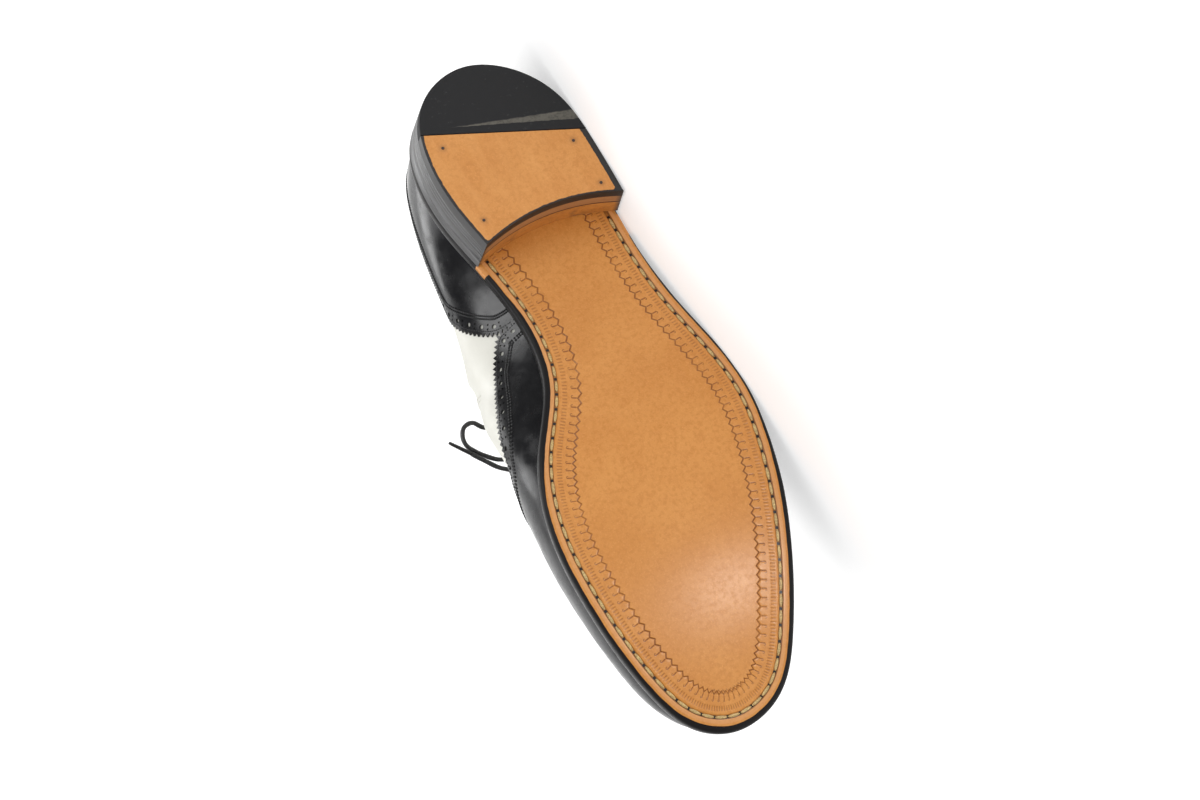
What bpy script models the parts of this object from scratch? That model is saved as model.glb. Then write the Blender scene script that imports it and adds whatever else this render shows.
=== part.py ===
"""A right wingtip oxford, lying on its outer side, built piece by piece as a shoemaker would."""
import math

import bmesh
import bpy
import numpy as np
from mathutils import Vector

MM = 0.001
LATERAL = -1
MEDIAL = 1
SIDES = (LATERAL, MEDIAL)

# Driving dimensions in millimetres, in the shoe's own frame:
# +X runs from heel to toe, +Y to the inner side of the foot, +Z up from the ground it would walk on.
GAP = 0.3
OUTSOLE_THICKNESS = 5.0
OUTSOLE_BEVEL = 1.2
WELT_THICKNESS = 3.0
WELT_STEP = 0.5
WELT_SHOWING = 4.2
WELT_WIDTH = 9.4
INSOLE_THICKNESS = 3.6
UPPER_WALL = 2.2
OVERLAY_THICKNESS = 1.0
OVERLAY_LIFT = 0.6
TONGUE_THICKNESS = 2.0
LACE_DIAMETER = 2.2
TIP_DIAMETER = 1.9

# The underside of the sole: heel seat, waist rising from the tread, flat tread and toe spring.
BREAST_X = 83.0
BREAST_HEIGHT = 23.5
SEAT_RISE = 4.0
WAIST_RUN = 112.0
TREAD_END_X = 228.0
TOE_SPRING = 12.5
TOE_SPRING_POWER = 1.8
SOLE_LENGTH = 312.0

# The heel: a leather stack on a top piece of leather at the front and rubber at the back.
TOP_LIFT_THICKNESS = 6.0
HEEL_TAPER = 1.6
BREAST_ENDS = {LATERAL: 80.5, MEDIAL: 83.0}
BREAST_HOLLOW = 6.5
BREAST_POINTS = 7
BREAST_CORNER = 0.008
LIFT_JOINT = {LATERAL: (47.0, -32.8), MEDIAL: (26.0, 34.3)}

# How the shoe lies on its outer side, and where that puts its origin: under the middle of its box.
LIE_ANGLES_DEG = (86.75, -6.8, 180.0)
LIE_SHIFT = (153.47, -53.95, 28.72)

# The edge of the outsole seen from above, from the middle of the heel back round the outer side.
OUTLINE = (
    # place, x, y
    ("heel back", 0.0, 6.0),
    ("outer heel corner", 9.0, -16.8),
    ("outer heel", 27.0, -30.8),
    ("outer heel front", 54.0, -36.8),
    ("outer breast", 88.0, -39.6),
    ("outer waist", 130.0, -42.8),
    ("outer joint", 180.0, -50.4),
    ("outer tread", 215.0, -47.2),
    ("outer toe", 250.5, -37.0),
    ("outer toe end", 285.5, -22.0),
    ("outer toe corner", 305.5, -7.5),
    ("toe tip", 312.0, 16.0),
    ("inner toe corner", 304.0, 32.5),
    ("inner toe end", 280.5, 46.0),
    ("inner tread", 245.0, 54.4),
    ("inner joint", 212.0, 56.1),
    ("inner ball", 177.0, 47.0),
    ("inner waist front", 149.0, 30.6),
    ("inner waist", 118.0, 24.8),
    ("inner breast", 90.0, 28.8),
    ("inner heel front", 62.0, 36.6),
    ("inner heel", 36.0, 38.8),
    ("inner heel corner", 12.0, 31.0),
)
TOE_ROW = 11

# The upper's top edge: collar, facing corner, throat and, past the vamp point, the ridge over the toes.
# The fraction runs along the sole's edge from the heel back (0) to the toe tip (1).
TOP = (
    # fraction, x, z, middle y, half width
    (0.00, 6.0, 98.0, 5.0, 0.0),
    (0.10, 17.0, 95.5, 4.0, 17.5),
    (0.20, 48.0, 89.5, 1.5, 26.5),
    (0.29, 82.0, 89.0, -0.5, 27.5),
    (0.36, 104.0, 97.0, -1.5, 23.0),
    (0.41, 117.0, 107.5, -2.0, 15.5),
    (0.44, 123.5, 109.5, -2.0, 9.0),
    (0.47, 131.5, 105.5, -1.5, 5.5),
    (0.53, 157.0, 91.0, 1.5, 3.0),
    (0.58, 179.0, 79.5, 4.5, 0.0),
    (0.66, 188.0, 75.5, 6.0, 0.0),
    (0.74, 199.0, 71.0, 7.5, 0.0),
    (0.82, 217.0, 64.5, 10.0, 0.0),
    (0.90, 240.0, 58.0, 12.5, 0.0),
    (1.00, 264.0, 53.0, 14.5, 0.0),
)
VAMP_POINT = 0.58

# Each rib of the upper is a cubic curve from the welt to the top edge. Its first handle stands out and
# up from the welt, and its second stands out and down from the top edge.
RIBS = (
    # fraction, outer: out, up, in, down, inner: out, up, in, down
    (0.00, 5.0, 20.0, 5.0, 20.0, 5.0, 20.0, 5.0, 20.0),
    (0.10, 4.0, 22.0, 7.0, 22.0, 4.0, 22.0, 8.0, 22.0),
    (0.20, 5.0, 24.0, 11.0, 21.0, 10.5, 22.0, 13.5, 24.0),
    (0.29, 8.0, 29.0, 15.0, 21.0, 25.5, 18.0, 19.0, 28.0),
    (0.36, 11.0, 31.0, 23.0, 23.0, 32.0, 17.0, 30.5, 30.0),
    (0.44, 12.0, 29.0, 38.0, 22.0, 34.5, 17.0, 50.0, 22.0),
    (0.53, 9.0, 26.0, 42.0, 12.0, 33.5, 20.0, 60.0, 8.0),
    (0.58, 6.0, 23.0, 39.0, 7.0, 18.5, 21.0, 51.5, 5.0),
    (0.66, 6.0, 23.0, 38.0, 3.0, 10.0, 22.0, 43.5, 3.0),
    (0.74, 6.0, 22.0, 36.0, 1.0, 9.0, 22.0, 39.0, 1.0),
    (0.82, 6.0, 21.0, 32.0, 1.0, 9.0, 21.0, 33.5, 1.0),
    (0.90, 6.0, 20.0, 28.0, 2.0, 9.0, 20.0, 28.0, 2.0),
    (1.00, 5.0, 19.0, 24.0, 4.0, 5.0, 19.0, 24.0, 4.0),
)
RIB_COLUMNS = {LATERAL: 1, MEDIAL: 5}

# Top edges of the two overlays, as heights up the ribs from the welt (0) to the top edge (1).
OVERLAY_FOOT = 0.03
WING_EDGE = (
    # fraction, height
    (0.372, 0.14),
    (0.398, 0.20),
    (0.432, 0.245),
    (0.485, 0.265),
    (0.545, 0.265),
    (0.575, 0.33),
    (0.610, 0.43),
    (0.650, 0.545),
    (0.700, 0.66),
    (0.725, 0.80),
    (0.740, 1.00),
    (1.000, 1.00),
)
COUNTER_EDGE = (
    # fraction, height
    (0.000, 0.74),
    (0.090, 0.65),
    (0.160, 0.59),
    (0.270, 0.58),
    (0.295, 0.54),
    (0.320, 0.42),
    (0.345, 0.29),
    (0.360, 0.21),
)

# The tongue under the throat: how far it reaches under the vamp, past the facings and to each side.
TONGUE_TOE = 0.62
TONGUE_TOP = 0.46
TONGUE_RISE = 11.0
TONGUE_SIDE_HEIGHTS = (0.76, 0.95)
TONGUE_CLEARANCE = 0.6
TONGUE_STATIONS = 9
TONGUE_ACROSS = 5

# The lace: five bars over the tongue, then a knot with two loops and two tipped ends.
LACE_BARS = (0.462, 0.486, 0.510, 0.534, 0.556)
BAR_HEIGHTS = (0.88, 0.94, 1.0)
LACE_LIFT = LACE_DIAMETER / 2 + 0.4
KNOT_CENTRE = (127.5, -1.5, 112.5)
KNOT_SIZE = (9.0, 10.0, 6.0)
LACE_ROUTES = {
    # name: points from the knot, in millimetres
    "lace_loop_medial": (
        (126.0, 3.8, 112.5), (129.5, 18.0, 112.0), (133.5, 31.0, 106.0), (133.0, 39.5, 100.0),
        (129.5, 44.5, 97.0), (131.0, 49.8, 95.5), (136.5, 52.0, 95.5), (142.0, 49.8, 96.0),
        (150.0, 39.5, 99.0), (149.0, 27.5, 105.5), (139.5, 13.5, 110.5), (129.5, 3.8, 112.5),
    ),
    "lace_loop_lateral": (
        (125.0, -6.7, 112.5), (121.0, -18.0, 112.5), (119.5, -30.0, 109.0), (122.0, -38.5, 100.0),
        (128.0, -42.0, 96.0), (135.5, -41.5, 96.5), (140.0, -34.5, 101.0), (138.0, -23.0, 108.0),
        (133.0, -13.0, 111.0), (129.0, -6.9, 112.5),
    ),
    "lace_end_medial": (
        (132.3, 0.0, 112.0), (143.0, 8.0, 109.0), (153.0, 20.0, 104.5), (157.5, 32.0, 99.5),
        (155.0, 40.5, 96.5), (149.5, 46.5, 95.0), (144.0, 51.2, 94.5),
    ),
    "lace_end_lateral": (
        (132.3, -3.5, 112.0), (143.0, -9.0, 108.0), (152.0, -19.0, 102.5), (156.0, -31.0, 94.5),
        (153.0, -39.5, 87.5), (148.0, -43.5, 82.5),
    ),
}
LACE_TIPS = {
    # name: where the tip starts past its lace end, and its far end
    "lace_tip_medial": ((143.75, 51.4, 94.5), (135.0, 59.0, 94.5)),
    "lace_tip_lateral": ((147.7, -43.7, 82.2), (141.0, -47.0, 74.0)),
}
LACE_POINT_SPACING = 5.0
ROUTE_SAMPLES = 24

# How finely the curved pieces are divided.
RIB_FRACTIONS = np.linspace(0.0, 1.0, 37)
OVERLAY_STEP = 0.009
UPPER_ROWS = 10
WING_ROWS = 10
COUNTER_ROWS = 7
STEEP_EDGE = 2.5
OUTSOLE_ACROSS = 5
INSOLE_ACROSS = 3
OUTLINE_SAMPLES = 1500
NORMAL_STEP = 0.004
NORMAL_LIMIT = 0.97
WELD_DISTANCE = 0.01

PARTS = bpy.data.collections.new("wingtip_oxford")

FINISHES = {
    # material: colour, roughness
    "sole leather": ((0.60, 0.27, 0.075), 0.5),
    "edge black": ((0.012, 0.011, 0.011), 0.4),
    "black rubber": ((0.014, 0.014, 0.014), 0.65),
    "black calf": ((0.010, 0.010, 0.011), 0.25),
    "white calf": ((0.80, 0.79, 0.74), 0.4),
    "lining leather": ((0.55, 0.40, 0.24), 0.6),
    "waxed cord": ((0.012, 0.012, 0.013), 0.5),
}


def clear_scene():
    for thing in list(bpy.data.objects):
        bpy.data.objects.remove(thing)


def material(name):
    """The named finish, made once."""
    found = bpy.data.materials.get(name)
    if found:
        return found
    colour, roughness = FINISHES[name]
    made = bpy.data.materials.new(name)
    made.use_nodes = True
    shader = made.node_tree.nodes["Principled BSDF"]
    shader.inputs["Base Color"].default_value = (*colour, 1.0)
    shader.inputs["Roughness"].default_value = roughness
    shader.inputs["Metallic"].default_value = 0.0
    return made


def closed_spline(points, count):
    """Evenly parametrised samples of the smooth closed curve through the points."""
    ring = np.vstack([points, points[:1]])
    steps = np.linalg.norm(np.diff(ring, axis=0), axis=1)
    slopes = np.diff(ring, axis=0) / steps[:, None]
    size = len(points)
    system = np.zeros((size, size))
    for i in range(size):
        system[i, i - 1] += steps[i - 1]
        system[i, i] += 2 * (steps[i - 1] + steps[i])
        system[i, (i + 1) % size] += steps[i]
    bends = np.linalg.solve(system, 6 * (slopes - np.roll(slopes, 1, axis=0)))
    bends = np.vstack([bends, bends[:1]])
    knots = np.concatenate([[0.0], np.cumsum(steps)])
    places = np.linspace(0.0, knots[-1], count, endpoint=False)
    spans = np.clip(np.searchsorted(knots, places, side="right") - 1, 0, size - 1)
    after = ((places - knots[spans]) / steps[spans])[:, None]
    before = 1 - after
    curve = before * ring[spans] + after * ring[spans + 1]
    curve += ((before ** 3 - before) * bends[spans] + (after ** 3 - after) * bends[spans + 1]) \
        * steps[spans, None] ** 2 / 6
    return curve


def sole_edges():
    """For each side, the sole's edge from heel back to toe tip: fractions, points and outward normals."""
    points = np.array([row[1:] for row in OUTLINE])
    ring = closed_spline(points, OUTLINE_SAMPLES)
    along = np.roll(ring, -1, axis=0) - np.roll(ring, 1, axis=0)
    normals = np.c_[along[:, 1], -along[:, 0]] / np.linalg.norm(along, axis=1)[:, None]
    toe = np.linalg.norm(ring - points[TOE_ROW], axis=1).argmin()
    orders = {
        LATERAL: np.arange(0, toe + 1),
        MEDIAL: np.concatenate([[0], np.arange(OUTLINE_SAMPLES - 1, toe - 1, -1)]),
    }
    edges = {}
    for side, order in orders.items():
        run = np.linalg.norm(np.diff(ring[order], axis=0), axis=1)
        fractions = np.concatenate([[0.0], np.cumsum(run)])
        edges[side] = (fractions / fractions[-1], ring[order], normals[order])
    return edges


EDGES = sole_edges()


def edge(side, fraction, inset=0.0):
    """A point of the sole's outline, moved inward by the inset, with its outward normal."""
    fractions, points, normals = EDGES[side]
    point = np.array([np.interp(fraction, fractions, points[:, k]) for k in (0, 1)])
    normal = np.array([np.interp(fraction, fractions, normals[:, k]) for k in (0, 1)])
    normal /= np.linalg.norm(normal)
    return point - inset * normal, normal


def fraction_at(side, x):
    """Where along the outline, from the heel back, a side of the sole reaches this x."""
    fractions, points, _ = EDGES[side]
    first = np.argmax(points[:, 0] >= x)
    return fractions[first]


def ground(x):
    """Height of the outsole's underside."""
    if x < BREAST_X:
        return BREAST_HEIGHT + SEAT_RISE * (1 - x / BREAST_X)
    waist = min((x - BREAST_X) / WAIST_RUN, 1.0)
    spring = max((x - TREAD_END_X) / (SOLE_LENGTH - TREAD_END_X), 0.0)
    return BREAST_HEIGHT * (1 - waist * waist * (3 - 2 * waist)) + TOE_SPRING * spring ** TOE_SPRING_POWER


def column(table, index, fraction, odd=False):
    """A table's column as a smooth curve, carried over both ends as if mirrored there."""
    knots = [row[0] for row in table]
    values = [row[index] for row in table]
    sign = -1 if odd else 1
    knots = [-knots[1], *knots, 2 * knots[-1] - knots[-2]]
    values = [sign * values[1], *values, values[-2]]
    span = min(max(int(np.searchsorted(knots, fraction, side="right")) - 1, 1), len(knots) - 3)
    width = knots[span + 1] - knots[span]
    after = (fraction - knots[span]) / width
    tangents = []
    for k in (span, span + 1):
        tangents.append((values[k + 1] - values[k - 1]) / (knots[k + 1] - knots[k - 1]) * width)
    return (values[span] * (2 * after ** 3 - 3 * after ** 2 + 1)
            + tangents[0] * (after ** 3 - 2 * after ** 2 + after)
            + values[span + 1] * (3 * after ** 2 - 2 * after ** 3)
            + tangents[1] * (after ** 3 - after ** 2))


def top_point(side, fraction):
    """The upper's top edge: collar, throat or ridge."""
    x, z, middle = (column(TOP, k, fraction) for k in (1, 2, 3))
    half = max(column(TOP, 4, fraction, odd=True), 0.0) if fraction < VAMP_POINT else 0.0
    return np.array([x, middle + side * half, z])


def rib(side, fraction, height):
    """A point of the upper's outer surface on one rib, from the welt (0) to the top edge (1)."""
    first = RIB_COLUMNS[side]
    out, up, inward, down = (column(RIBS, first + k, fraction) for k in range(4))
    foot, normal = edge(side, fraction, WELT_SHOWING)
    level = ground(foot[0]) + OUTSOLE_THICKNESS + WELT_THICKNESS + 2 * GAP
    outward = np.array([*normal, 0.0])
    rise = np.array([0.0, 0.0, 1.0])
    start = np.array([*foot, level])
    end = top_point(side, fraction)
    bones = (start, start + out * outward + up * rise, end + inward * outward - down * rise, end)
    rest = 1 - height
    weights = (rest ** 3, 3 * rest ** 2 * height, 3 * rest * height ** 2, height ** 3)
    return sum(weight * bone for weight, bone in zip(weights, bones))


def wrapped_rib(side, fraction, height):
    """A point of the upper, past the toe tip or the heel back onto the other side where need be."""
    if fraction < 0.0:
        return rib(-side, -fraction, height)
    if fraction > 1.0:
        return rib(-side, 2.0 - fraction, height)
    return rib(side, fraction, height)


def facing(side, fraction, height):
    """The upper's outward normal, taken just short of the top edge, where the ribs close up."""
    step = NORMAL_STEP
    height = min(max(height, step), NORMAL_LIMIT)
    along = wrapped_rib(side, fraction + step, height) - wrapped_rib(side, fraction - step, height)
    upward = rib(side, fraction, height + step) - rib(side, fraction, height - step)
    normal = np.cross(along, upward) * -side
    return normal / np.linalg.norm(normal)


def surface(side, fraction, height, lift=0.0):
    """A point of the upper's outer surface, lifted off it along the outward normal."""
    normal = facing(side, fraction, height)
    if height == 1.0 and fraction >= VAMP_POINT:
        normal = normal + facing(-side, fraction, height)
        normal /= np.linalg.norm(normal)
    return rib(side, fraction, height) + lift * normal


def both_sides(fractions):
    """Stations along the outer side to the last fraction, then back along the inner side."""
    outer = [(LATERAL, f) for f in fractions]
    inner = [(MEDIAL, f) for f in reversed(fractions)]
    return outer + inner


def grid_mesh(rows):
    """A sheet of quads through rows of points, in millimetres, with coincident points welded."""
    mesh = bmesh.new()
    bmesh.ops.create_grid(mesh, x_segments=len(rows[0]) - 1, y_segments=len(rows) - 1, size=1.0)
    points = [point for row in rows for point in row]
    for vertex, point in zip(mesh.verts, points):
        vertex.co = Vector(point) * MM
    bmesh.ops.remove_doubles(mesh, verts=mesh.verts, dist=WELD_DISTANCE * MM)
    return mesh


def add_part(name, mesh, finish, smooth_angle=40.0):
    """Turns a bmesh into a named, finished part."""
    data = bpy.data.meshes.new(name)
    mesh.to_mesh(data)
    mesh.free()
    data.materials.append(material(finish))
    data.shade_smooth()
    data.set_sharp_from_angle(angle=math.radians(smooth_angle))
    part = bpy.data.objects.new(name, data)
    PARTS.objects.link(part)
    return part


def thicken(part, thickness, outward):
    """Gives an open sheet its wall, on its outer or inner side."""
    wall = part.modifiers.new("wall", "SOLIDIFY")
    wall.thickness = thickness * MM
    wall.offset = 1.0 if outward else -1.0
    wall.use_even_offset = False
    return part


def raise_slab(mesh, height):
    """Closes a flat-lying sheet into a slab by extruding it straight up."""
    made = bmesh.ops.extrude_face_region(mesh, geom=mesh.faces[:], use_keep_orig=True)
    top = [item for item in made["geom"] if isinstance(item, bmesh.types.BMVert)]
    bmesh.ops.translate(mesh, verts=top, vec=(0.0, 0.0, height * MM))
    bmesh.ops.recalc_face_normals(mesh, faces=mesh.faces)
    return mesh


def sole_sheet(inset, level, across):
    """A sheet filling the sole's inset outline, that far above the outsole's underside."""
    rows = []
    for share in np.linspace(0.0, 1.0, across):
        row = []
        for fraction in RIB_FRACTIONS:
            outer, _ = edge(LATERAL, fraction, inset)
            inner, _ = edge(MEDIAL, fraction, inset)
            x, y = outer + share * (inner - outer)
            row.append((x, y, ground(x) + level))
        rows.append(row)
    return grid_mesh(rows)


def make_outsole():
    sheet = sole_sheet(0.0, 0.0, OUTSOLE_ACROSS)
    part = add_part("outsole", raise_slab(sheet, OUTSOLE_THICKNESS), "sole leather")
    bevel = part.modifiers.new("rounded edge", "BEVEL")
    bevel.width = OUTSOLE_BEVEL * MM
    bevel.segments = 2
    bevel.limit_method = "ANGLE"
    bevel.angle_limit = math.radians(50.0)
    return part


def make_welt():
    """The strip round the top of the outsole that the upper is sewn to."""
    rows = []
    for inset in (WELT_STEP, WELT_STEP + WELT_WIDTH):
        row = []
        for side, fraction in both_sides(list(RIB_FRACTIONS)):
            point, _ = edge(side, fraction, inset)
            row.append((*point, ground(point[0]) + OUTSOLE_THICKNESS + GAP))
        rows.append(row)
    return add_part("welt", raise_slab(grid_mesh(rows), WELT_THICKNESS), "edge black")


def make_insole():
    inset = WELT_STEP + WELT_WIDTH + GAP
    sheet = sole_sheet(inset, OUTSOLE_THICKNESS + GAP, INSOLE_ACROSS)
    return add_part("insole", raise_slab(sheet, INSOLE_THICKNESS), "lining leather")


def heel_outline(inset):
    """The heel seen from above: outer side, back, inner side and the hollow breast."""
    corners = {side: fraction_at(side, BREAST_ENDS[side]) for side in SIDES}
    outer = [f for f in RIB_FRACTIONS if f < corners[LATERAL] - BREAST_CORNER]
    inner = [f for f in RIB_FRACTIONS if 0.0 < f < corners[MEDIAL] - BREAST_CORNER]
    stations = [(LATERAL, f) for f in reversed(outer)] + [(MEDIAL, f) for f in inner]
    stations = [(LATERAL, corners[LATERAL])] + stations + [(MEDIAL, corners[MEDIAL])]
    points = [edge(side, fraction, inset)[0] for side, fraction in stations]
    start, end = points[-1], points[0]
    for k in range(1, BREAST_POINTS):
        share = k / BREAST_POINTS
        point = start + share * (end - start)
        point[0] -= BREAST_HOLLOW * 4 * share * (1 - share)
        points.append(point)
    return points


def heel_block(low, high_of, low_inset, high_inset):
    """A tapered block of the heel, from a flat underside to a top whose height depends on x."""
    mesh = bmesh.new()
    bottom = heel_outline(low_inset)
    face = mesh.faces.new([mesh.verts.new(Vector((*point, low)) * MM) for point in bottom])
    made = bmesh.ops.extrude_face_region(mesh, geom=[face], use_keep_orig=True)
    top = [item for item in made["geom"] if isinstance(item, bmesh.types.BMVert)]
    for point, target in zip(bottom, heel_outline(high_inset)):
        place = Vector((*point, low)) * MM
        vertex = min(top, key=lambda v: (v.co - place).length)
        vertex.co = Vector((*target, high_of(target[0]))) * MM
        top.remove(vertex)
    bmesh.ops.recalc_face_normals(mesh, faces=mesh.faces)
    return mesh


def make_heel_stack():
    low = TOP_LIFT_THICKNESS + GAP
    low_inset = HEEL_TAPER * (1 - low / BREAST_HEIGHT)
    mesh = heel_block(low, lambda x: ground(x) - GAP, low_inset, 0.0)
    return add_part("heel_stack", mesh, "edge black")


def make_top_lifts():
    """The leather front and rubber back of the heel's wearing surface, parted along a slanted joint."""
    outer = Vector((*LIFT_JOINT[LATERAL], 0.0)) * MM
    inner = Vector((*LIFT_JOINT[MEDIAL], 0.0)) * MM
    forward = (inner - outer).cross(Vector((0.0, 0.0, 1.0))).normalized()
    high_inset = HEEL_TAPER * (1 - TOP_LIFT_THICKNESS / BREAST_HEIGHT)
    pieces = (("heel_top_lift", "sole leather", 1), ("heel_rubber_tip", "black rubber", -1))
    for name, finish, keep in pieces:
        mesh = heel_block(0.0, lambda x: TOP_LIFT_THICKNESS, HEEL_TAPER, high_inset)
        everything = mesh.verts[:] + mesh.edges[:] + mesh.faces[:]
        place = outer + forward * keep * GAP * MM / 2
        cut = bmesh.ops.bisect_plane(mesh, geom=everything, plane_co=place, plane_no=forward * -keep,
                                     clear_outer=True)
        rim = [item for item in cut["geom_cut"] if isinstance(item, bmesh.types.BMEdge)]
        bmesh.ops.contextual_create(mesh, geom=rim)
        bmesh.ops.recalc_face_normals(mesh, faces=mesh.faces)
        add_part(name, mesh, finish)


def make_upper():
    """One hollow wall over the last, open at the collar and throat and underneath."""
    stations = both_sides(list(RIB_FRACTIONS))
    rows = []
    for height in np.linspace(0.0, 1.0, UPPER_ROWS):
        rows.append([surface(side, fraction, height) for side, fraction in stations])
    return thicken(add_part("upper", grid_mesh(rows), "white calf"), UPPER_WALL, outward=False)


def overlay(name, stations, height_of, row_count):
    """A panel laid on the upper, from just above the welt to its own top edge."""
    rows = []
    for share in np.linspace(0.0, 1.0, row_count):
        row = []
        for side, fraction in stations:
            height = OVERLAY_FOOT + share * (height_of(fraction) - OVERLAY_FOOT)
            row.append(surface(side, fraction, height, OVERLAY_LIFT))
        rows.append(row)
    return thicken(add_part(name, grid_mesh(rows), "black calf"), OVERLAY_THICKNESS, outward=True)


def edge_height(table):
    """The overlay's top edge as straight runs between the table's rows."""
    fractions = [row[0] for row in table]
    heights = [row[1] for row in table]
    return lambda fraction: float(np.interp(fraction, fractions, heights))


def overlay_fractions(table):
    """Ribs for an overlay: the upper's own where its edge runs level, and closer where it runs steeply."""
    fractions = [table[0][0]]
    for (start, low), (end, high) in zip(table, table[1:]):
        if abs(high - low) > STEEP_EDGE * (end - start):
            fractions.extend(np.linspace(start, end, math.ceil((end - start) / OVERLAY_STEP) + 1)[1:])
        else:
            fractions.extend(f for f in RIB_FRACTIONS if start < f < end)
            fractions.append(end)
    return fractions


def make_wing_cap():
    stations = both_sides(overlay_fractions(WING_EDGE))
    return overlay("wing_cap", stations, edge_height(WING_EDGE), WING_ROWS)


def make_heel_counter():
    fractions = overlay_fractions(COUNTER_EDGE)
    stations = [(MEDIAL, f) for f in reversed(fractions)] + [(LATERAL, f) for f in fractions]
    return overlay("heel_counter", stations, edge_height(COUNTER_EDGE), COUNTER_ROWS)


def make_tongue():
    """A curved flap under the throat, narrowing to where it reaches past the top of the facings."""
    lift = -(UPPER_WALL + TONGUE_CLEARANCE)
    stations = np.linspace(TONGUE_TOE, TONGUE_TOP, TONGUE_STATIONS)
    side_heights = np.linspace(*TONGUE_SIDE_HEIGHTS, TONGUE_STATIONS)
    columns = []
    for fraction, side_height in zip(stations, side_heights):
        heights = np.linspace(side_height, 1.0, TONGUE_ACROSS)
        outer = [surface(LATERAL, fraction, height, lift) for height in heights]
        inner = [surface(MEDIAL, fraction, height, lift) for height in heights]
        middle = (outer[-1] + inner[-1]) / 2
        columns.append(outer[:-1] + [middle] + inner[-2::-1])
    centre = TONGUE_ACROSS - 1
    ahead = columns[-1][centre] - columns[-2][centre]
    ahead /= np.linalg.norm(ahead)
    for _ in range(2):
        columns.append([point + ahead * TONGUE_RISE / 2 for point in columns[-1]])
    rows = [list(row) for row in zip(*reversed(columns))]
    part = add_part("tongue", grid_mesh(rows), "black calf")
    return thicken(part, TONGUE_THICKNESS, outward=False)


def smooth_route(points, spacing):
    """Points along the smooth curve through a route, about that far apart."""
    points = [Vector(p) for p in points]
    ends = [2 * points[0] - points[1], *points, 2 * points[-1] - points[-2]]
    dense = []
    for a, b, c, d in zip(ends, ends[1:], ends[2:], ends[3:]):
        for s in np.linspace(0.0, 1.0, ROUTE_SAMPLES, endpoint=False):
            dense.append(0.5 * ((2 * b) + (c - a) * s + (2 * a - 5 * b + 4 * c - d) * s * s
                                + (3 * b - a - 3 * c + d) * s ** 3))
    dense.append(points[-1])
    runs = np.concatenate([[0.0], np.cumsum([(q - p).length for p, q in zip(dense, dense[1:])])])
    places = np.linspace(0.0, runs[-1], max(2, round(runs[-1] / spacing) + 1))
    table = np.array(dense)
    return [tuple(np.interp(place, runs, table[:, k]) for k in range(3)) for place in places]


def tube(name, points, diameter, finish):
    """A round cord or bar along a route."""
    curve = bpy.data.curves.new(name, "CURVE")
    curve.dimensions = "3D"
    curve.bevel_depth = diameter / 2 * MM
    curve.bevel_resolution = 2
    curve.use_fill_caps = True
    spline = curve.splines.new("POLY")
    spline.points.add(len(points) - 1)
    for target, point in zip(spline.points, points):
        target.co = (*(Vector(point) * MM), 1.0)
    curve.materials.append(material(finish))
    part = bpy.data.objects.new(name, curve)
    PARTS.objects.link(part)
    return part


def make_lace_bars():
    for number, fraction in enumerate(LACE_BARS, start=1):
        outer = [surface(LATERAL, fraction, height, LACE_LIFT) for height in BAR_HEIGHTS]
        inner = [surface(MEDIAL, fraction, height, LACE_LIFT) for height in BAR_HEIGHTS]
        tube(f"lace_bar_{number}", outer + inner[::-1], LACE_DIAMETER, "waxed cord")


def make_bow():
    mesh = bmesh.new()
    bmesh.ops.create_uvsphere(mesh, u_segments=12, v_segments=8, radius=0.5)
    for vertex in mesh.verts:
        vertex.co = Vector([c * s + k for c, s, k in zip(vertex.co, KNOT_SIZE, KNOT_CENTRE)]) * MM
    add_part("lace_knot", mesh, "waxed cord")
    for name, route in LACE_ROUTES.items():
        tube(name, smooth_route(route, LACE_POINT_SPACING), LACE_DIAMETER, "waxed cord")
    for name, route in LACE_TIPS.items():
        tube(name, route, TIP_DIAMETER, "waxed cord")


def lay_on_side():
    """Turns the whole shoe onto its outer side, standing on the ground under its own middle."""
    stand = bpy.data.objects.new("lie", None)
    PARTS.objects.link(stand)
    stand.rotation_euler = [math.radians(angle) for angle in LIE_ANGLES_DEG]
    stand.location = Vector(LIE_SHIFT) * MM
    for part in PARTS.objects:
        if part is not stand:
            part.parent = stand


def main():
    clear_scene()
    bpy.context.scene.collection.children.link(PARTS)
    make_outsole()
    make_welt()
    make_insole()
    make_heel_stack()
    make_top_lifts()
    make_upper()
    make_wing_cap()
    make_heel_counter()
    make_tongue()
    make_lace_bars()
    make_bow()
    lay_on_side()


main()
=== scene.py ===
# %% [markdown]
# # Dressing a wingtip oxford
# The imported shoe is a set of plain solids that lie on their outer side. This lesson keeps their sizes
# and places and gives each piece its finish: sewn sole, stacked heel, pinked overlays and a tied lace.

import math

import bpy
import numpy as np
from mathutils import Euler, Matrix, Vector
from mathutils.geometry import delaunay_2d_cdt
from mathutils.kdtree import KDTree


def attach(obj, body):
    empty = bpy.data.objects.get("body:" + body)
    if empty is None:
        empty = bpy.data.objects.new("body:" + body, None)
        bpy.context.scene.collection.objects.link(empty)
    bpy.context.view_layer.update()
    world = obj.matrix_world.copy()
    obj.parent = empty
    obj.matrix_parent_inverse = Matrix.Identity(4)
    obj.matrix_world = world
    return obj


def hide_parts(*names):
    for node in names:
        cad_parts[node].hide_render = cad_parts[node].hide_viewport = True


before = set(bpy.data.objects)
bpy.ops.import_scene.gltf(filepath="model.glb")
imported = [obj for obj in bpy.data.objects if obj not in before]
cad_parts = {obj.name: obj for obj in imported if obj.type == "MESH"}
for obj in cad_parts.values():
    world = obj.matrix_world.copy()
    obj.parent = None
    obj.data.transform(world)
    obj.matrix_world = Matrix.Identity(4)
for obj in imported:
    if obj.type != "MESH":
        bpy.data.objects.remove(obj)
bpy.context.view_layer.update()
bpy.ops.object.select_all(action="DESELECT")

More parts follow.
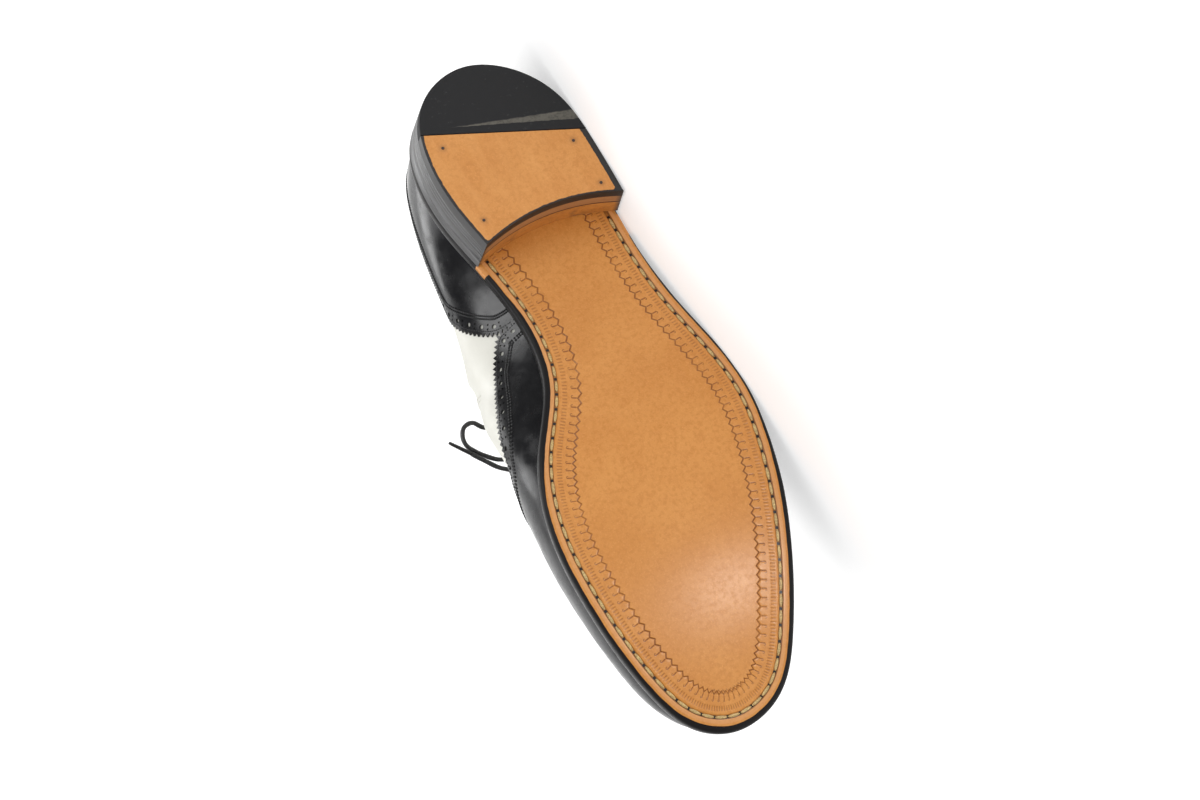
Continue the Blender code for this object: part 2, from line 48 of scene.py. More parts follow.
# %% [markdown]
# ## The shoe's own frame
# A shoemaker measures along the sole, across it and up from the ground. All sizes below are millimetres
# in that frame, with +X to the toe, +Y to the inner side and +Z up. One matrix then lays the shoe down.

# %% Frame and lie
MM = 0.001
LATERAL = -1
MEDIAL = 1
LIE_ANGLES_DEG = (86.75, -6.8, 180.0)
LIE_SHIFT = (153.47, -53.95, 28.72)
TURN = Euler([math.radians(a) for a in LIE_ANGLES_DEG]).to_matrix()
LIE = Matrix.Translation(Vector(LIE_SHIFT) * MM) @ TURN.to_4x4()


def laid(points):
    """Shoe points in millimetres as world points in metres."""
    turn = np.array(TURN)
    return (np.asarray(points, float) @ turn.T + np.array(LIE_SHIFT)) * MM


print("lie", [round(v, 3) for v in LIE.to_euler()])

# %% [markdown]
# ## Camera first
# The picture looks at the sole from just past the toe and the inner side. The camera keeps that angle to
# the shoe, so it is rolled here, because the shoe lies on the floor with its heel to one side.

# %% Camera
CAMERA_PLACE = (369.2, 273.0, -868.7)
CAMERA_AIM = (159.7, 6.9, 20.0)
CAMERA_UP = (-0.885, -0.352, -0.304)
CAMERA_LENS = 66.0
place, aim = (Vector(laid([p])[0]) for p in (CAMERA_PLACE, CAMERA_AIM))
look = (aim - place).normalized()
right = look.cross(TURN @ Vector(CAMERA_UP)).normalized()
lens = bpy.data.cameras.new("camera")
lens.lens = CAMERA_LENS
camera = bpy.data.objects.new("camera", lens)
bpy.context.scene.collection.objects.link(camera)
facing = Matrix((right, right.cross(look), -look)).transposed()
camera.matrix_world = Matrix.Translation(place) @ facing.to_4x4()
bpy.context.scene.camera = camera
print("camera", [round(v, 3) for v in place])

# %% [markdown]
# ## Shape tables
# These are the same few rows that shaped the solids: the sole's outline, the upper's top edge and the
# handles of its ribs. Repeating them here lets every seam and stitch sit exactly on the shoe.

# %% Driving sizes and tables
WELT_SHOWING = 4.2
UPPER_WALL = 2.2
UPPER_FOOT = 8.6
BREAST_X = 83.0
BREAST_HEIGHT = 23.5
SEAT_RISE = 4.0
WAIST_RUN = 112.0
TREAD_END_X = 228.0
TOE_SPRING = 12.5
TOE_SPRING_POWER = 1.8
SOLE_LENGTH = 312.0
TOP_LIFT = 6.0
HEEL_TAPER = 1.6
BREAST_ENDS = {LATERAL: 80.5, MEDIAL: 83.0}
BREAST_HOLLOW = 6.5
LIFT_JOINT = {LATERAL: (47.0, -32.8), MEDIAL: (26.0, 34.3)}
VAMP_POINT = 0.58
OUTLINE = (
    # x, y from the heel back round the outer side
    (0.0, 6.0), (9.0, -16.8), (27.0, -30.8), (54.0, -36.8), (88.0, -39.6), (130.0, -42.8),
    (180.0, -50.4), (215.0, -47.2), (250.5, -37.0), (285.5, -22.0), (305.5, -7.5), (312.0, 16.0),
    (304.0, 32.5), (280.5, 46.0), (245.0, 54.4), (212.0, 56.1), (177.0, 47.0), (149.0, 30.6),
    (118.0, 24.8), (90.0, 28.8), (62.0, 36.6), (36.0, 38.8), (12.0, 31.0),
)
TOE_ROW = 11
TOP = (
    # fraction, x, z, middle y, half width
    (0.00, 6.0, 98.0, 5.0, 0.0),
    (0.10, 17.0, 95.5, 4.0, 17.5),
    (0.20, 48.0, 89.5, 1.5, 26.5),
    (0.29, 82.0, 89.0, -0.5, 27.5),
    (0.36, 104.0, 97.0, -1.5, 23.0),
    (0.41, 117.0, 107.5, -2.0, 15.5),
    (0.44, 123.5, 109.5, -2.0, 9.0),
    (0.47, 131.5, 105.5, -1.5, 5.5),
    (0.53, 157.0, 91.0, 1.5, 3.0),
    (0.58, 179.0, 79.5, 4.5, 0.0),
    (0.66, 188.0, 75.5, 6.0, 0.0),
    (0.74, 199.0, 71.0, 7.5, 0.0),
    (0.82, 217.0, 64.5, 10.0, 0.0),
    (0.90, 240.0, 58.0, 12.5, 0.0),
    (1.00, 264.0, 53.0, 14.5, 0.0),
)
RIBS = (
    # fraction, outer: out, up, in, down, inner: out, up, in, down
    (0.00, 5.0, 20.0, 5.0, 20.0, 5.0, 20.0, 5.0, 20.0),
    (0.10, 4.0, 22.0, 7.0, 22.0, 4.0, 22.0, 8.0, 22.0),
    (0.20, 5.0, 24.0, 11.0, 21.0, 10.5, 22.0, 13.5, 24.0),
    (0.29, 8.0, 29.0, 15.0, 21.0, 25.5, 18.0, 19.0, 28.0),
    (0.36, 11.0, 31.0, 23.0, 23.0, 32.0, 17.0, 30.5, 30.0),
    (0.44, 12.0, 29.0, 38.0, 22.0, 34.5, 17.0, 50.0, 22.0),
    (0.53, 9.0, 26.0, 42.0, 12.0, 33.5, 20.0, 60.0, 8.0),
    (0.58, 6.0, 23.0, 39.0, 7.0, 18.5, 21.0, 51.5, 5.0),
    (0.66, 6.0, 23.0, 38.0, 3.0, 10.0, 22.0, 43.5, 3.0),
    (0.74, 6.0, 22.0, 36.0, 1.0, 9.0, 22.0, 39.0, 1.0),
    (0.82, 6.0, 21.0, 32.0, 1.0, 9.0, 21.0, 33.5, 1.0),
    (0.90, 6.0, 20.0, 28.0, 2.0, 9.0, 20.0, 28.0, 2.0),
    (1.00, 5.0, 19.0, 24.0, 4.0, 5.0, 19.0, 24.0, 4.0),
)
RIB_COLUMNS = {LATERAL: 1, MEDIAL: 5}
print("tables", len(OUTLINE), len(TOP), len(RIBS))

# %% [markdown]
# ## The sole's outline and the last
# The outline is a smooth closed curve through its points. Every piece asks for a place on it by the
# fraction of the way from heel to toe, so one function serves sole, welt, heel and upper.

# %% Outline
OUTLINE_SAMPLES = 3000
SIDES = (LATERAL, MEDIAL)


def unit(vectors):
    return vectors / np.linalg.norm(vectors, axis=-1, keepdims=True)


def ease(share):
    """A share from 0 to 1 that starts and ends gently."""
    return share * share * (3 - 2 * share)


def closed_spline(points, count):
    """Samples of the smooth closed curve through the points."""
    ring = np.vstack([points, points[:1]])
    steps = np.linalg.norm(np.diff(ring, axis=0), axis=1)
    slopes = np.diff(ring, axis=0) / steps[:, None]
    size = len(points)
    system = np.zeros((size, size))
    for i in range(size):
        system[i, i - 1] += steps[i - 1]
        system[i, i] += 2 * (steps[i - 1] + steps[i])
        system[i, (i + 1) % size] += steps[i]
    bends = np.linalg.solve(system, 6 * (slopes - np.roll(slopes, 1, axis=0)))
    bends = np.vstack([bends, bends[:1]])
    knots = np.concatenate([[0.0], np.cumsum(steps)])
    places = np.linspace(0.0, knots[-1], count, endpoint=False)
    spans = np.clip(np.searchsorted(knots, places, side="right") - 1, 0, size - 1)
    after = ((places - knots[spans]) / steps[spans])[:, None]
    before = 1 - after
    bend = (before ** 3 - before) * bends[spans] + (after ** 3 - after) * bends[spans + 1]
    return before * ring[spans] + after * ring[spans + 1] + bend * steps[spans, None] ** 2 / 6


def sole_edges():
    """For each side: fractions from heel back to toe tip, points, outward normals and length."""
    points = np.array(OUTLINE)
    ring = closed_spline(points, OUTLINE_SAMPLES)
    along = np.roll(ring, -1, axis=0) - np.roll(ring, 1, axis=0)
    normals = np.c_[along[:, 1], -along[:, 0]] / np.linalg.norm(along, axis=1)[:, None]
    toe = np.linalg.norm(ring - points[TOE_ROW], axis=1).argmin()
    back = np.concatenate([[0], np.arange(OUTLINE_SAMPLES - 1, toe - 1, -1)])
    edges = {}
    for side, order in zip(SIDES, (np.arange(0, toe + 1), back)):
        run = np.linalg.norm(np.diff(ring[order], axis=0), axis=1)
        fractions = np.concatenate([[0.0], np.cumsum(run)])
        edges[side] = (fractions / fractions[-1], ring[order], normals[order], fractions[-1])
    return edges


EDGES = sole_edges()
EDGE_RUN = {side: EDGES[side][3] for side in SIDES}


def on_edge(side, fraction, values):
    """Values given along one side of the outline, read at some fractions."""
    return np.stack([np.interp(fraction, EDGES[side][0], values[:, k]) for k in (0, 1)], axis=-1)


def edge_normal(side, fraction):
    return unit(on_edge(side, fraction, EDGES[side][2]))


def edge(side, fraction, inset=0.0):
    """Points of the sole's outline, moved inward by the inset."""
    inward = np.asarray(inset)[..., None] * edge_normal(side, fraction)
    return on_edge(side, fraction, EDGES[side][1]) - inward


def fraction_at(side, x):
    """Where along the outline a side of the sole first reaches this x."""
    fractions, points, _, _ = EDGES[side]
    return fractions[np.argmax(points[:, 0] >= x)]


print("outer and inner edge", [round(EDGE_RUN[side], 1) for side in SIDES])

# %% Ground and ribs
def ground(x):
    """Height of the outsole's underside."""
    x = np.asarray(x, float)
    waist = np.clip((x - BREAST_X) / WAIST_RUN, 0.0, 1.0)
    spring = np.clip((x - TREAD_END_X) / (SOLE_LENGTH - TREAD_END_X), 0.0, None)
    seat = SEAT_RISE * np.clip(1 - x / BREAST_X, 0.0, None)
    toe = TOE_SPRING * spring ** TOE_SPRING_POWER
    return BREAST_HEIGHT * (1 - ease(waist)) + toe + seat


def column(table, index, at, odd=False):
    """A table's column as a smooth curve, carried over both ends as if mirrored there."""
    rows = np.array(table)
    knots = np.r_[-rows[1, 0], rows[:, 0], 2 * rows[-1, 0] - rows[-2, 0]]
    values = np.r_[(-1 if odd else 1) * rows[1, index], rows[:, index], rows[-2, index]]
    span = np.clip(np.searchsorted(knots, at, side="right") - 1, 1, len(knots) - 3)
    width = knots[span + 1] - knots[span]
    after = (at - knots[span]) / width
    leave = (values[span + 1] - values[span - 1]) / (knots[span + 1] - knots[span - 1]) * width
    arrive = (values[span + 2] - values[span]) / (knots[span + 2] - knots[span]) * width
    square, cube = after ** 2, after ** 3
    return (values[span] * (2 * cube - 3 * square + 1) + leave * (cube - 2 * square + after)
            + values[span + 1] * (3 * square - 2 * cube) + arrive * (cube - square))


def rib(side, fraction, height):
    """Points of the upper's outer surface, from the welt (height 0) to the top edge (height 1)."""
    out, up, inward, down = (column(RIBS, RIB_COLUMNS[side] + k, fraction) for k in range(4))
    x, z, middle = (column(TOP, k, fraction) for k in (1, 2, 3))
    half = np.where(fraction < VAMP_POINT, np.clip(column(TOP, 4, fraction, odd=True), 0.0, None), 0.0)
    foot = edge(side, fraction, WELT_SHOWING)
    outward = np.c_[edge_normal(side, fraction), np.zeros(len(fraction))]
    rise = np.array([0.0, 0.0, 1.0])
    start = np.c_[foot, ground(foot[:, 0]) + UPPER_FOOT]
    end = np.stack([x, middle + side * half, z], axis=-1)
    bones = (start, start + out[:, None] * outward + up[:, None] * rise,
             end + inward[:, None] * outward - down[:, None] * rise, end)
    rest = 1 - height
    weights = (rest ** 3, 3 * rest ** 2 * height, 3 * rest * height ** 2, height ** 3)
    return sum(weight[:, None] * bone for weight, bone in zip(weights, bones))


print("ground at heel, tread and toe", [round(float(ground(x)), 1) for x in (0.0, TREAD_END_X, SOLE_LENGTH)])

# %% [markdown]
# ## Drawing on the upper
# A girth runs once round the shoe: 0 at the heel back, 1 at the toe tip along the outer side, and on to 2
# along the inner side. Girth and height together name any place on the upper, and a seam is a line there.

# %% Places and normals on the upper
NORMAL_STEP = 0.004
NORMAL_LIMIT = 0.97
RIDGE_HEIGHT = 0.9999


def skin_point(girth, height):
    """Points of the upper by girth and height."""
    girth = np.mod(girth, 2.0)
    outer = girth <= 1.0
    fraction = np.where(outer, girth, 2.0 - girth)
    points = np.empty((len(girth), 3))
    for side, mask in zip(SIDES, (outer, ~outer)):
        if mask.any():
            points[mask] = rib(side, fraction[mask], height[mask])
    return points


def skin_slopes(girth, height):
    """How a place moves per unit of girth and of height."""
    height = np.clip(height, NORMAL_STEP, NORMAL_LIMIT)
    along = skin_point(girth + NORMAL_STEP, height) - skin_point(girth - NORMAL_STEP, height)
    upward = skin_point(girth, height + NORMAL_STEP) - skin_point(girth, height - NORMAL_STEP)
    return along / (2 * NORMAL_STEP), upward / (2 * NORMAL_STEP)


def skin_normal(girth, height):
    """Outward normals, shared by both sides where they meet along the ridge over the toes."""
    normal = unit(np.cross(*skin_slopes(girth, height)))
    turned = np.mod(girth, 2.0)
    ridge = (height > RIDGE_HEIGHT) & (np.minimum(turned, 2.0 - turned) >= VAMP_POINT)
    if ridge.any():
        other = unit(np.cross(*skin_slopes(2.0 - girth[ridge], height[ridge])))
        normal[ridge] = unit(normal[ridge] + other)
    return normal


def skin(girth, height, lift=0.0):
    """Points lifted off the upper along its outward normal."""
    girth, height = (np.asarray(a, float) for a in np.broadcast_arrays(girth, height))
    lift = np.broadcast_to(np.asarray(lift, float), girth.shape)
    return skin_point(girth, height) + lift[:, None] * skin_normal(girth, height)


def step_on_skin(girth, height, move):
    """Girth and height after a small move, given in millimetres along the surface."""
    along, upward = skin_slopes(girth, height)
    aa, ab, bb = (np.sum(p * q, axis=1) for p, q in ((along, along), (along, upward), (upward, upward)))
    am, bm = np.sum(along * move, axis=1), np.sum(upward * move, axis=1)
    spread = aa * bb - ab * ab
    return girth + (bb * am - ab * bm) / spread, height + (aa * bm - ab * am) / spread


print("heel back at the top edge", skin(np.zeros(1), np.ones(1))[0].round(1))

# %% Lines on the upper
def through(points, per_span=24):
    """The smooth open curve through a list of points."""
    points = np.asarray(points, float)
    ends = np.vstack([2 * points[0] - points[1], points, 2 * points[-1] - points[-2]])
    s = np.linspace(0.0, 1.0, per_span, endpoint=False)[:, None]
    spans = []
    for a, b, c, d in zip(ends, ends[1:], ends[2:], ends[3:]):
        spans.append(0.5 * (2 * b + (c - a) * s + (2 * a - 5 * b + 4 * c - d) * s ** 2
                            + (3 * b - a - 3 * c + d) * s ** 3))
    return np.vstack([*spans, points[-1:]])


def evenly(points, count, carried=None):
    """A polyline resampled to evenly spaced points; carried values follow it."""
    runs = np.r_[0.0, np.cumsum(np.linalg.norm(np.diff(points, axis=0), axis=1))]
    places = np.linspace(0.0, runs[-1], count)
    source = points if carried is None else carried
    return np.stack([np.interp(places, runs, source[:, k]) for k in range(source.shape[1])], axis=-1)


def length_of(points):
    return float(np.linalg.norm(np.diff(points, axis=0), axis=1).sum())


def seam(side, corners, spacing):
    """Evenly spaced girths and heights along a line drawn on one side, from rows of fraction and height."""
    line = through(corners)
    girth = line[:, 0] if side == LATERAL else 2.0 - line[:, 0]
    points = skin_point(girth, line[:, 1])
    count = max(2, round(length_of(points) / spacing) + 1)
    even = evenly(points, count, np.c_[girth, line[:, 1]])
    return even[:, 0], even[:, 1]


def seam_frame(girth, height, lift=0.0):
    """Points, tangents, side steps and normals along a seam."""
    points = skin(girth, height, lift)
    normals = skin_normal(girth, height)
    tangents = np.gradient(points, axis=0)
    tangents = unit(tangents - np.sum(tangents * normals, axis=1)[:, None] * normals)
    return points, tangents, np.cross(normals, tangents), normals


def beside(side, girth, height, distance):
    """The same line moved inward, away from the overlay's edge, by a distance in millimetres."""
    across = seam_frame(girth, height)[2]
    reach = np.broadcast_to(side * np.asarray(distance, float), girth.shape)
    return step_on_skin(girth, height, across * reach[:, None])


print("girth of the welt line", round(length_of(skin_point(np.linspace(0, 2, 400), np.zeros(400))), 1))

# %% [markdown]
# ## Helpers that model
# A sheet starts as a primitive grid whose points are drawn onto the shoe. A repeated stitch starts as one
# small ball that is stretched and copied. Modifiers give walls their thickness and are then applied.

# %% Sheets and walls
MERGE = 0.00001


def only(piece):
    """Selects one piece and makes it active."""
    bpy.ops.object.select_all(action="DESELECT")
    piece.select_set(True)
    bpy.context.view_layer.objects.active = piece


def merge_points(piece, outward=False):
    only(piece)
    bpy.ops.object.mode_set(mode="EDIT")
    bpy.ops.mesh.select_all(action="SELECT")
    bpy.ops.mesh.remove_doubles(threshold=MERGE)
    if outward:
        bpy.ops.mesh.normals_make_consistent(inside=False)
    bpy.ops.object.mode_set(mode="OBJECT")


def carry(mesh, values):
    """Stores named values on the mesh's points for the finishes to read."""
    for name, numbers in values.items():
        layer = mesh.attributes.new(name, "FLOAT", "POINT")
        layer.data.foreach_set("value", np.asarray(numbers, np.float32).ravel())


def sheet(name, rows, values=None, outward=False):
    """A primitive grid drawn onto rows of shoe points, with coincident points merged."""
    rows = np.asarray(rows, float)
    bpy.ops.object.select_all(action="DESELECT")
    bpy.ops.mesh.primitive_grid_add(x_subdivisions=rows.shape[1] - 1, y_subdivisions=rows.shape[0] - 1)
    piece = bpy.context.object
    piece.name = piece.data.name = name
    piece.data.vertices.foreach_set("co", laid(rows.reshape(-1, 3)).ravel())
    carry(piece.data, values or {})
    merge_points(piece, outward)
    return piece


def new_piece(name, points, faces):
    """A piece from shoe points and faces, linked to the scene."""
    mesh = bpy.data.meshes.new(name)
    mesh.from_pydata(laid(points).tolist(), [], faces)
    piece = bpy.data.objects.new(name, mesh)
    bpy.context.scene.collection.objects.link(piece)
    return piece


def from_faces(name, points, faces, values=None, outward=False):
    """A piece from faces that a fill or a sweep has worked out, with coincident points merged."""
    piece = new_piece(name, points, [list(map(int, face)) for face in faces])
    carry(piece.data, values or {})
    merge_points(piece, outward)
    return piece


def quads(first, second, size):
    """Faces between two rings of points, by the numbers of their first points."""
    ahead = [(k + 1) % size for k in range(size)]
    return [[first + k, first + n, second + n, second + k] for k, n in enumerate(ahead)]


def thicken(piece, thickness, outward, *finishes):
    """Gives an open sheet its finish and its wall. A second finish goes on the far side."""
    for finish in finishes:
        piece.data.materials.append(finish)
    wall = piece.modifiers.new("wall", "SOLIDIFY")
    wall.thickness = thickness * MM
    wall.offset = 1.0 if outward else -1.0
    wall.material_offset = len(finishes) - 1
    only(piece)
    bpy.ops.object.modifier_apply(modifier=wall.name)


print("points closer than", MERGE / MM, "mm are merged")

# %% Dressing and copying
ALL_SMOOTH = 180.0


def dress(piece, finish, slot, *nodes, angle=40.0):
    """Smooths a finished piece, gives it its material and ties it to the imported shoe."""
    if finish:
        piece.data.materials.append(finish)
    only(piece)
    bpy.ops.object.shade_smooth_by_angle(angle=math.radians(angle))
    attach(piece, "root")
    if nodes:
        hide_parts(*nodes)
    print(piece.name, len(piece.data.polygons), "faces")


def copies(name, shape, places, axes, sizes, finish, slot):
    """One piece of many stretched copies of a small shape. Axes are (forward, side, up) unit vectors."""
    points, faces = shape
    count, size = len(places), len(points)
    moved = places[:, None, :]
    for k in range(3):
        moved = moved + points[None, :, k, None] * sizes[k] / 2 * axes[k][:, None, :]
    shifts = np.arange(count) * size
    all_faces = [[v + shift for v in face] for shift in shifts for face in faces]
    dress(new_piece(name, moved.reshape(-1, 3), all_faces), finish, slot, angle=ALL_SMOOTH)


def shape_of(primitive):
    """The points and faces of a primitive, which is then removed."""
    points = np.array([v.co for v in primitive.data.vertices])
    faces = [list(p.vertices) for p in primitive.data.polygons]
    bpy.data.objects.remove(primitive)
    return points, faces


def ball(segments, rings):
    """The points and faces of a ball of radius 1, to be copied."""
    bpy.ops.mesh.primitive_uv_sphere_add(segments=segments, ring_count=rings, radius=1.0)
    return shape_of(bpy.context.object)


STITCH = ball(6, 4)


def stitches(name, rows, size, finish, slot):
    """Rows of thread, each a list of girths, heights and a lift, sewn as stretched balls."""
    parts = [seam_frame(girth, height, lift) for girth, height, lift in rows]
    places, forward, side, up = (np.vstack([part[k] for part in parts]) for k in range(4))
    copies(name, STITCH, places, (forward, side, up), size, finish, slot)


print("stitch shape", len(STITCH[0]), "points")

# %% [markdown]
# ## Flat fills
# Several pieces are flat shapes with a curved rim: the sole's middle, the heel's bottom and the overlays
# before they are laid on the shoe. A triangle fill meets such a rim point for point.

# %% Fill helpers
SAME_POINT = 1e-7


def inside(points, ring):
    """Which points lie inside a closed ring."""
    a, b = ring, np.roll(ring, -1, axis=0)
    x, y = points[:, :1], points[:, 1:]
    crosses = (a[:, 1] > y) != (b[:, 1] > y)
    with np.errstate(divide="ignore", invalid="ignore"):
        reach = (b[:, 0] - a[:, 0]) * (y - a[:, 1]) / (b[:, 1] - a[:, 1]) + a[:, 0]
    return (crosses & (x < reach)).sum(axis=1) % 2 == 1


def tree_of(points):
    tree = KDTree(len(points))
    for k, point in enumerate(points):
        tree.insert((point[0], point[1], 0.0), k)
    tree.balance()
    return tree


def fill(ring, spacing, clearance, holes=()):
    """A triangle fill of a flat ring with holes: points and triangles."""
    loops = [np.asarray(ring), *map(np.asarray, holes)]
    border = np.vstack(loops)
    low, high = ring.min(axis=0), ring.max(axis=0)
    grid = np.stack(np.meshgrid(np.arange(low[0], high[0], spacing), np.arange(low[1], high[1], spacing)), -1)
    grid[1::2, :, 0] += spacing / 2
    grid = grid.reshape(-1, 2)
    grid = grid[inside(grid, loops[0])]
    near = tree_of(border)
    grid = grid[[near.find((p[0], p[1], 0.0))[2] > clearance for p in grid]]
    for hole in loops[1:]:
        reach = np.linalg.norm(hole - hole.mean(axis=0), axis=1).max()
        grid = grid[np.linalg.norm(grid - hole.mean(axis=0), axis=1) > reach]
    points = np.vstack([border, grid])
    owner = np.r_[np.repeat(np.arange(len(loops)), [len(loop) for loop in loops]), -np.ones(len(grid), int)]
    edges, start = [], 0
    for loop in loops:
        size = len(loop)
        edges.extend((start + k, start + (k + 1) % size) for k in range(size))
        start += size
    found = delaunay_2d_cdt([Vector(p) for p in points], edges, [], 0, SAME_POINT)
    flat = np.array([tuple(v) for v in found[0]])
    source = [ids[0] if ids else -1 for ids in found[3]]
    owner = np.array([owner[k] if k >= 0 else -1 for k in source])
    triangles = np.array(found[2])
    same = (owner[triangles] == owner[triangles][:, :1]).all(axis=1)
    in_hole = same & (owner[triangles][:, 0] > 0)
    on_rim = same & (owner[triangles][:, 0] == 0)
    outside = np.zeros(len(triangles), bool)
    outside[on_rim] = ~inside(flat[triangles[on_rim]].mean(axis=1), loops[0])
    return flat, triangles[~in_hole & ~outside]


def shrink(ring, distance):
    """A ring moved inward by a small distance."""
    ahead = unit(np.roll(ring, -1, axis=0) - np.roll(ring, 1, axis=0))
    area = np.sum(ring[:, 0] * np.roll(ring[:, 1], -1) - np.roll(ring[:, 0], -1) * ring[:, 1])
    return ring + distance * np.sign(area) * np.c_[-ahead[:, 1], ahead[:, 0]]


print("fill ready")

# %% [markdown]
# ## Finishes
# Each material is a short node tree. Helpers below add a node, do sums and fade a value between two
# limits, so that a pattern such as a stamped border reads like its own description.

# %% Node helpers
class Finish:
    """A Principled material and the short words used to build its node tree."""

    def __init__(self, name, colour, roughness, **sockets):
        self.material = bpy.data.materials.new(name)
        self.material.use_nodes = True
        self.tree = self.material.node_tree
        self.shader = self.tree.nodes["Principled BSDF"]
        self.shader.inputs["Base Color"].default_value = (*colour, 1.0)
        self.shader.inputs["Roughness"].default_value = roughness
        for label, value in sockets.items():
            self.shader.inputs[label.replace("_", " ")].default_value = value
        self.place = self.add("ShaderNodeTexCoord").outputs["Object"]

    def add(self, kind, inputs=None, **settings):
        node = self.tree.nodes.new(kind)
        for label, value in settings.items():
            setattr(node, label, value)
        for label, value in (inputs or {}).items():
            if isinstance(value, bpy.types.NodeSocket):
                self.tree.links.new(value, node.inputs[label])
            else:
                node.inputs[label].default_value = value
        return node

    def sum(self, operation, *values):
        return self.add("ShaderNodeMath", dict(enumerate(values)), operation=operation).outputs[0]

    def times(self, first, second):
        return self.sum("MULTIPLY", first, second)

    def apart(self, first, second):
        return self.sum("ABSOLUTE", self.sum("SUBTRACT", first, second))

    def fade(self, value, low, high, start=0.0, end=1.0):
        inputs = {0: value, 1: low, 2: high, 3: start, 4: end}
        return self.add("ShaderNodeMapRange", inputs, interpolation_type="SMOOTHSTEP").outputs[0]

    def fall(self, value, low, high):
        return self.fade(value, low, high, 1.0, 0.0)

    def band(self, value, low, high, soft):
        risen = self.fade(value, low - soft, low + soft)
        return self.times(risen, self.fall(value, high - soft, high + soft))

    def named(self, name):
        return self.add("ShaderNodeAttribute", attribute_name=name).outputs["Fac"]

    def noise(self, scale, detail=3.0, roughness=0.55, stretch=None):
        vector = self.place
        if stretch:
            vector = self.add("ShaderNodeMapping", {"Vector": vector, "Scale": stretch}).outputs[0]
        inputs = {"Vector": vector, "Scale": scale, "Detail": detail, "Roughness": roughness}
        return self.add("ShaderNodeTexNoise", inputs).outputs["Fac"]

    def blend(self, share, *colours):
        ends = [c if isinstance(c, bpy.types.NodeSocket) else (*c, 1.0) for c in colours]
        return self.add("ShaderNodeMix", {0: share, 6: ends[0], 7: ends[1]}, data_type="RGBA").outputs[2]

    def feed(self, socket, value):
        self.tree.links.new(value, self.shader.inputs[socket])

    def bump(self, height, distance, strength=1.0, under=None):
        inputs = {"Height": height, "Distance": distance, "Strength": strength}
        if under is not None:
            inputs["Normal"] = under
        return self.add("ShaderNodeBump", inputs).outputs[0]

    def wander(self, scale, low, high, *detail):
        """Lets the roughness wander between two limits."""
        self.feed("Roughness", self.fade(self.noise(scale, *detail), 0.3, 0.7, low, high))


def worn_finish(name, colour, scale, low, high, **sockets):
    """One colour with a roughness that wanders."""
    f = Finish(name, colour, high, **sockets)
    f.wander(scale, low, high)
    return f.material


print("finishes ready")

# %% [markdown]
# ## Sole leather
# Oak-tanned leather is orange-tan with cloudy mottling. Its border is stamped with a row of ticks and a
# row of pointed pickets. The awl holes are painted black as shade, with no hole cut, and the channel is
# painted darker as shade, most of all on its outer wall. The lip beside it has a lighter tint that is partly
# burnish and partly a painted sheen. The edge is inked. The outsole carries its run along the edge and its
# inset from it, in millimetres, so the border is drawn from those two numbers.

# %% Sole leather finish
INK = (0.012, 0.011, 0.011)
TAN_DARK = (0.48, 0.175, 0.028)
TAN = (0.58, 0.236, 0.046)
TAN_LIGHT = (0.68, 0.315, 0.085)
STITCH_INSET = 5.2
STITCH_PITCH = 6.9
PICKET_PITCH = 3.94
TICK_PITCH = PICKET_PITCH * 3 / 8
TICKS = (7.5, 9.6)
TAILS = (11.4, 13.6)
ZIGZAG = (14.1, 15.6)
GROOVE = 0.42
HOOK_SIDE = 0.5
HOOK_RISE = 0.35
HOOK_RADIUS = 0.48
OVERLAP_SHIFT = 0.42
OVERLAP_RISE = 0.4
OVERLAP_REACH = (12.0, 16.0)
STAMP_BROWN = (0.17, 0.048, 0.010)
# Brown of the painted shade in the thread channel.
CHANNEL_SHADE_BROWN = (0.15, 0.052, 0.013)
# Black of the painted shade at the awl holes, which are not cut.
HOLE_SHADE_BLACK = (0.006, 0.005, 0.004)
# Lighter tan of the lip: partly burnish, partly a painted sheen.
LIP_BURNISH_AND_SHEEN_TAN = (0.66, 0.36, 0.18)


def tan_leather(finish):
    """Cloudy tan colour with fine grain, and the grain's height."""
    clouds = finish.noise(30.0, 5.0, 0.6)
    fibres = finish.noise(520.0, 3.0, 0.7)
    specks = finish.noise(1300.0, 2.0, 0.7)
    colour = finish.blend(finish.fade(clouds, 0.32, 0.70), TAN_DARK, TAN_LIGHT)
    colour = finish.blend(0.7, colour, TAN)
    colour = finish.blend(finish.fade(fibres, 0.42, 0.66, 0.0, 0.55), colour, TAN_DARK)
    colour = finish.blend(finish.fade(specks, 0.50, 0.72, 0.0, 0.45), colour, TAN_LIGHT)
    return colour, finish.sum("ADD", fibres, finish.times(specks, 0.4))


def triangle_wave(f, value, pitch, shift=0.0):
    """0 at the middle of each repeat, 0.5 at its ends."""
    phase = f.sum("FRACT", f.sum("ADD", f.sum("DIVIDE", value, pitch), shift))
    return f.apart(phase, 0.5)


def zigzag_line(f, fold, inset, inner, half, soft):
    """A zigzag whose points reach the inner inset."""
    line = f.sum("MULTIPLY_ADD", fold, -2 * (ZIGZAG[1] - ZIGZAG[0]), inner)
    return f.fall(f.apart(inset, line), half - soft, half + soft)


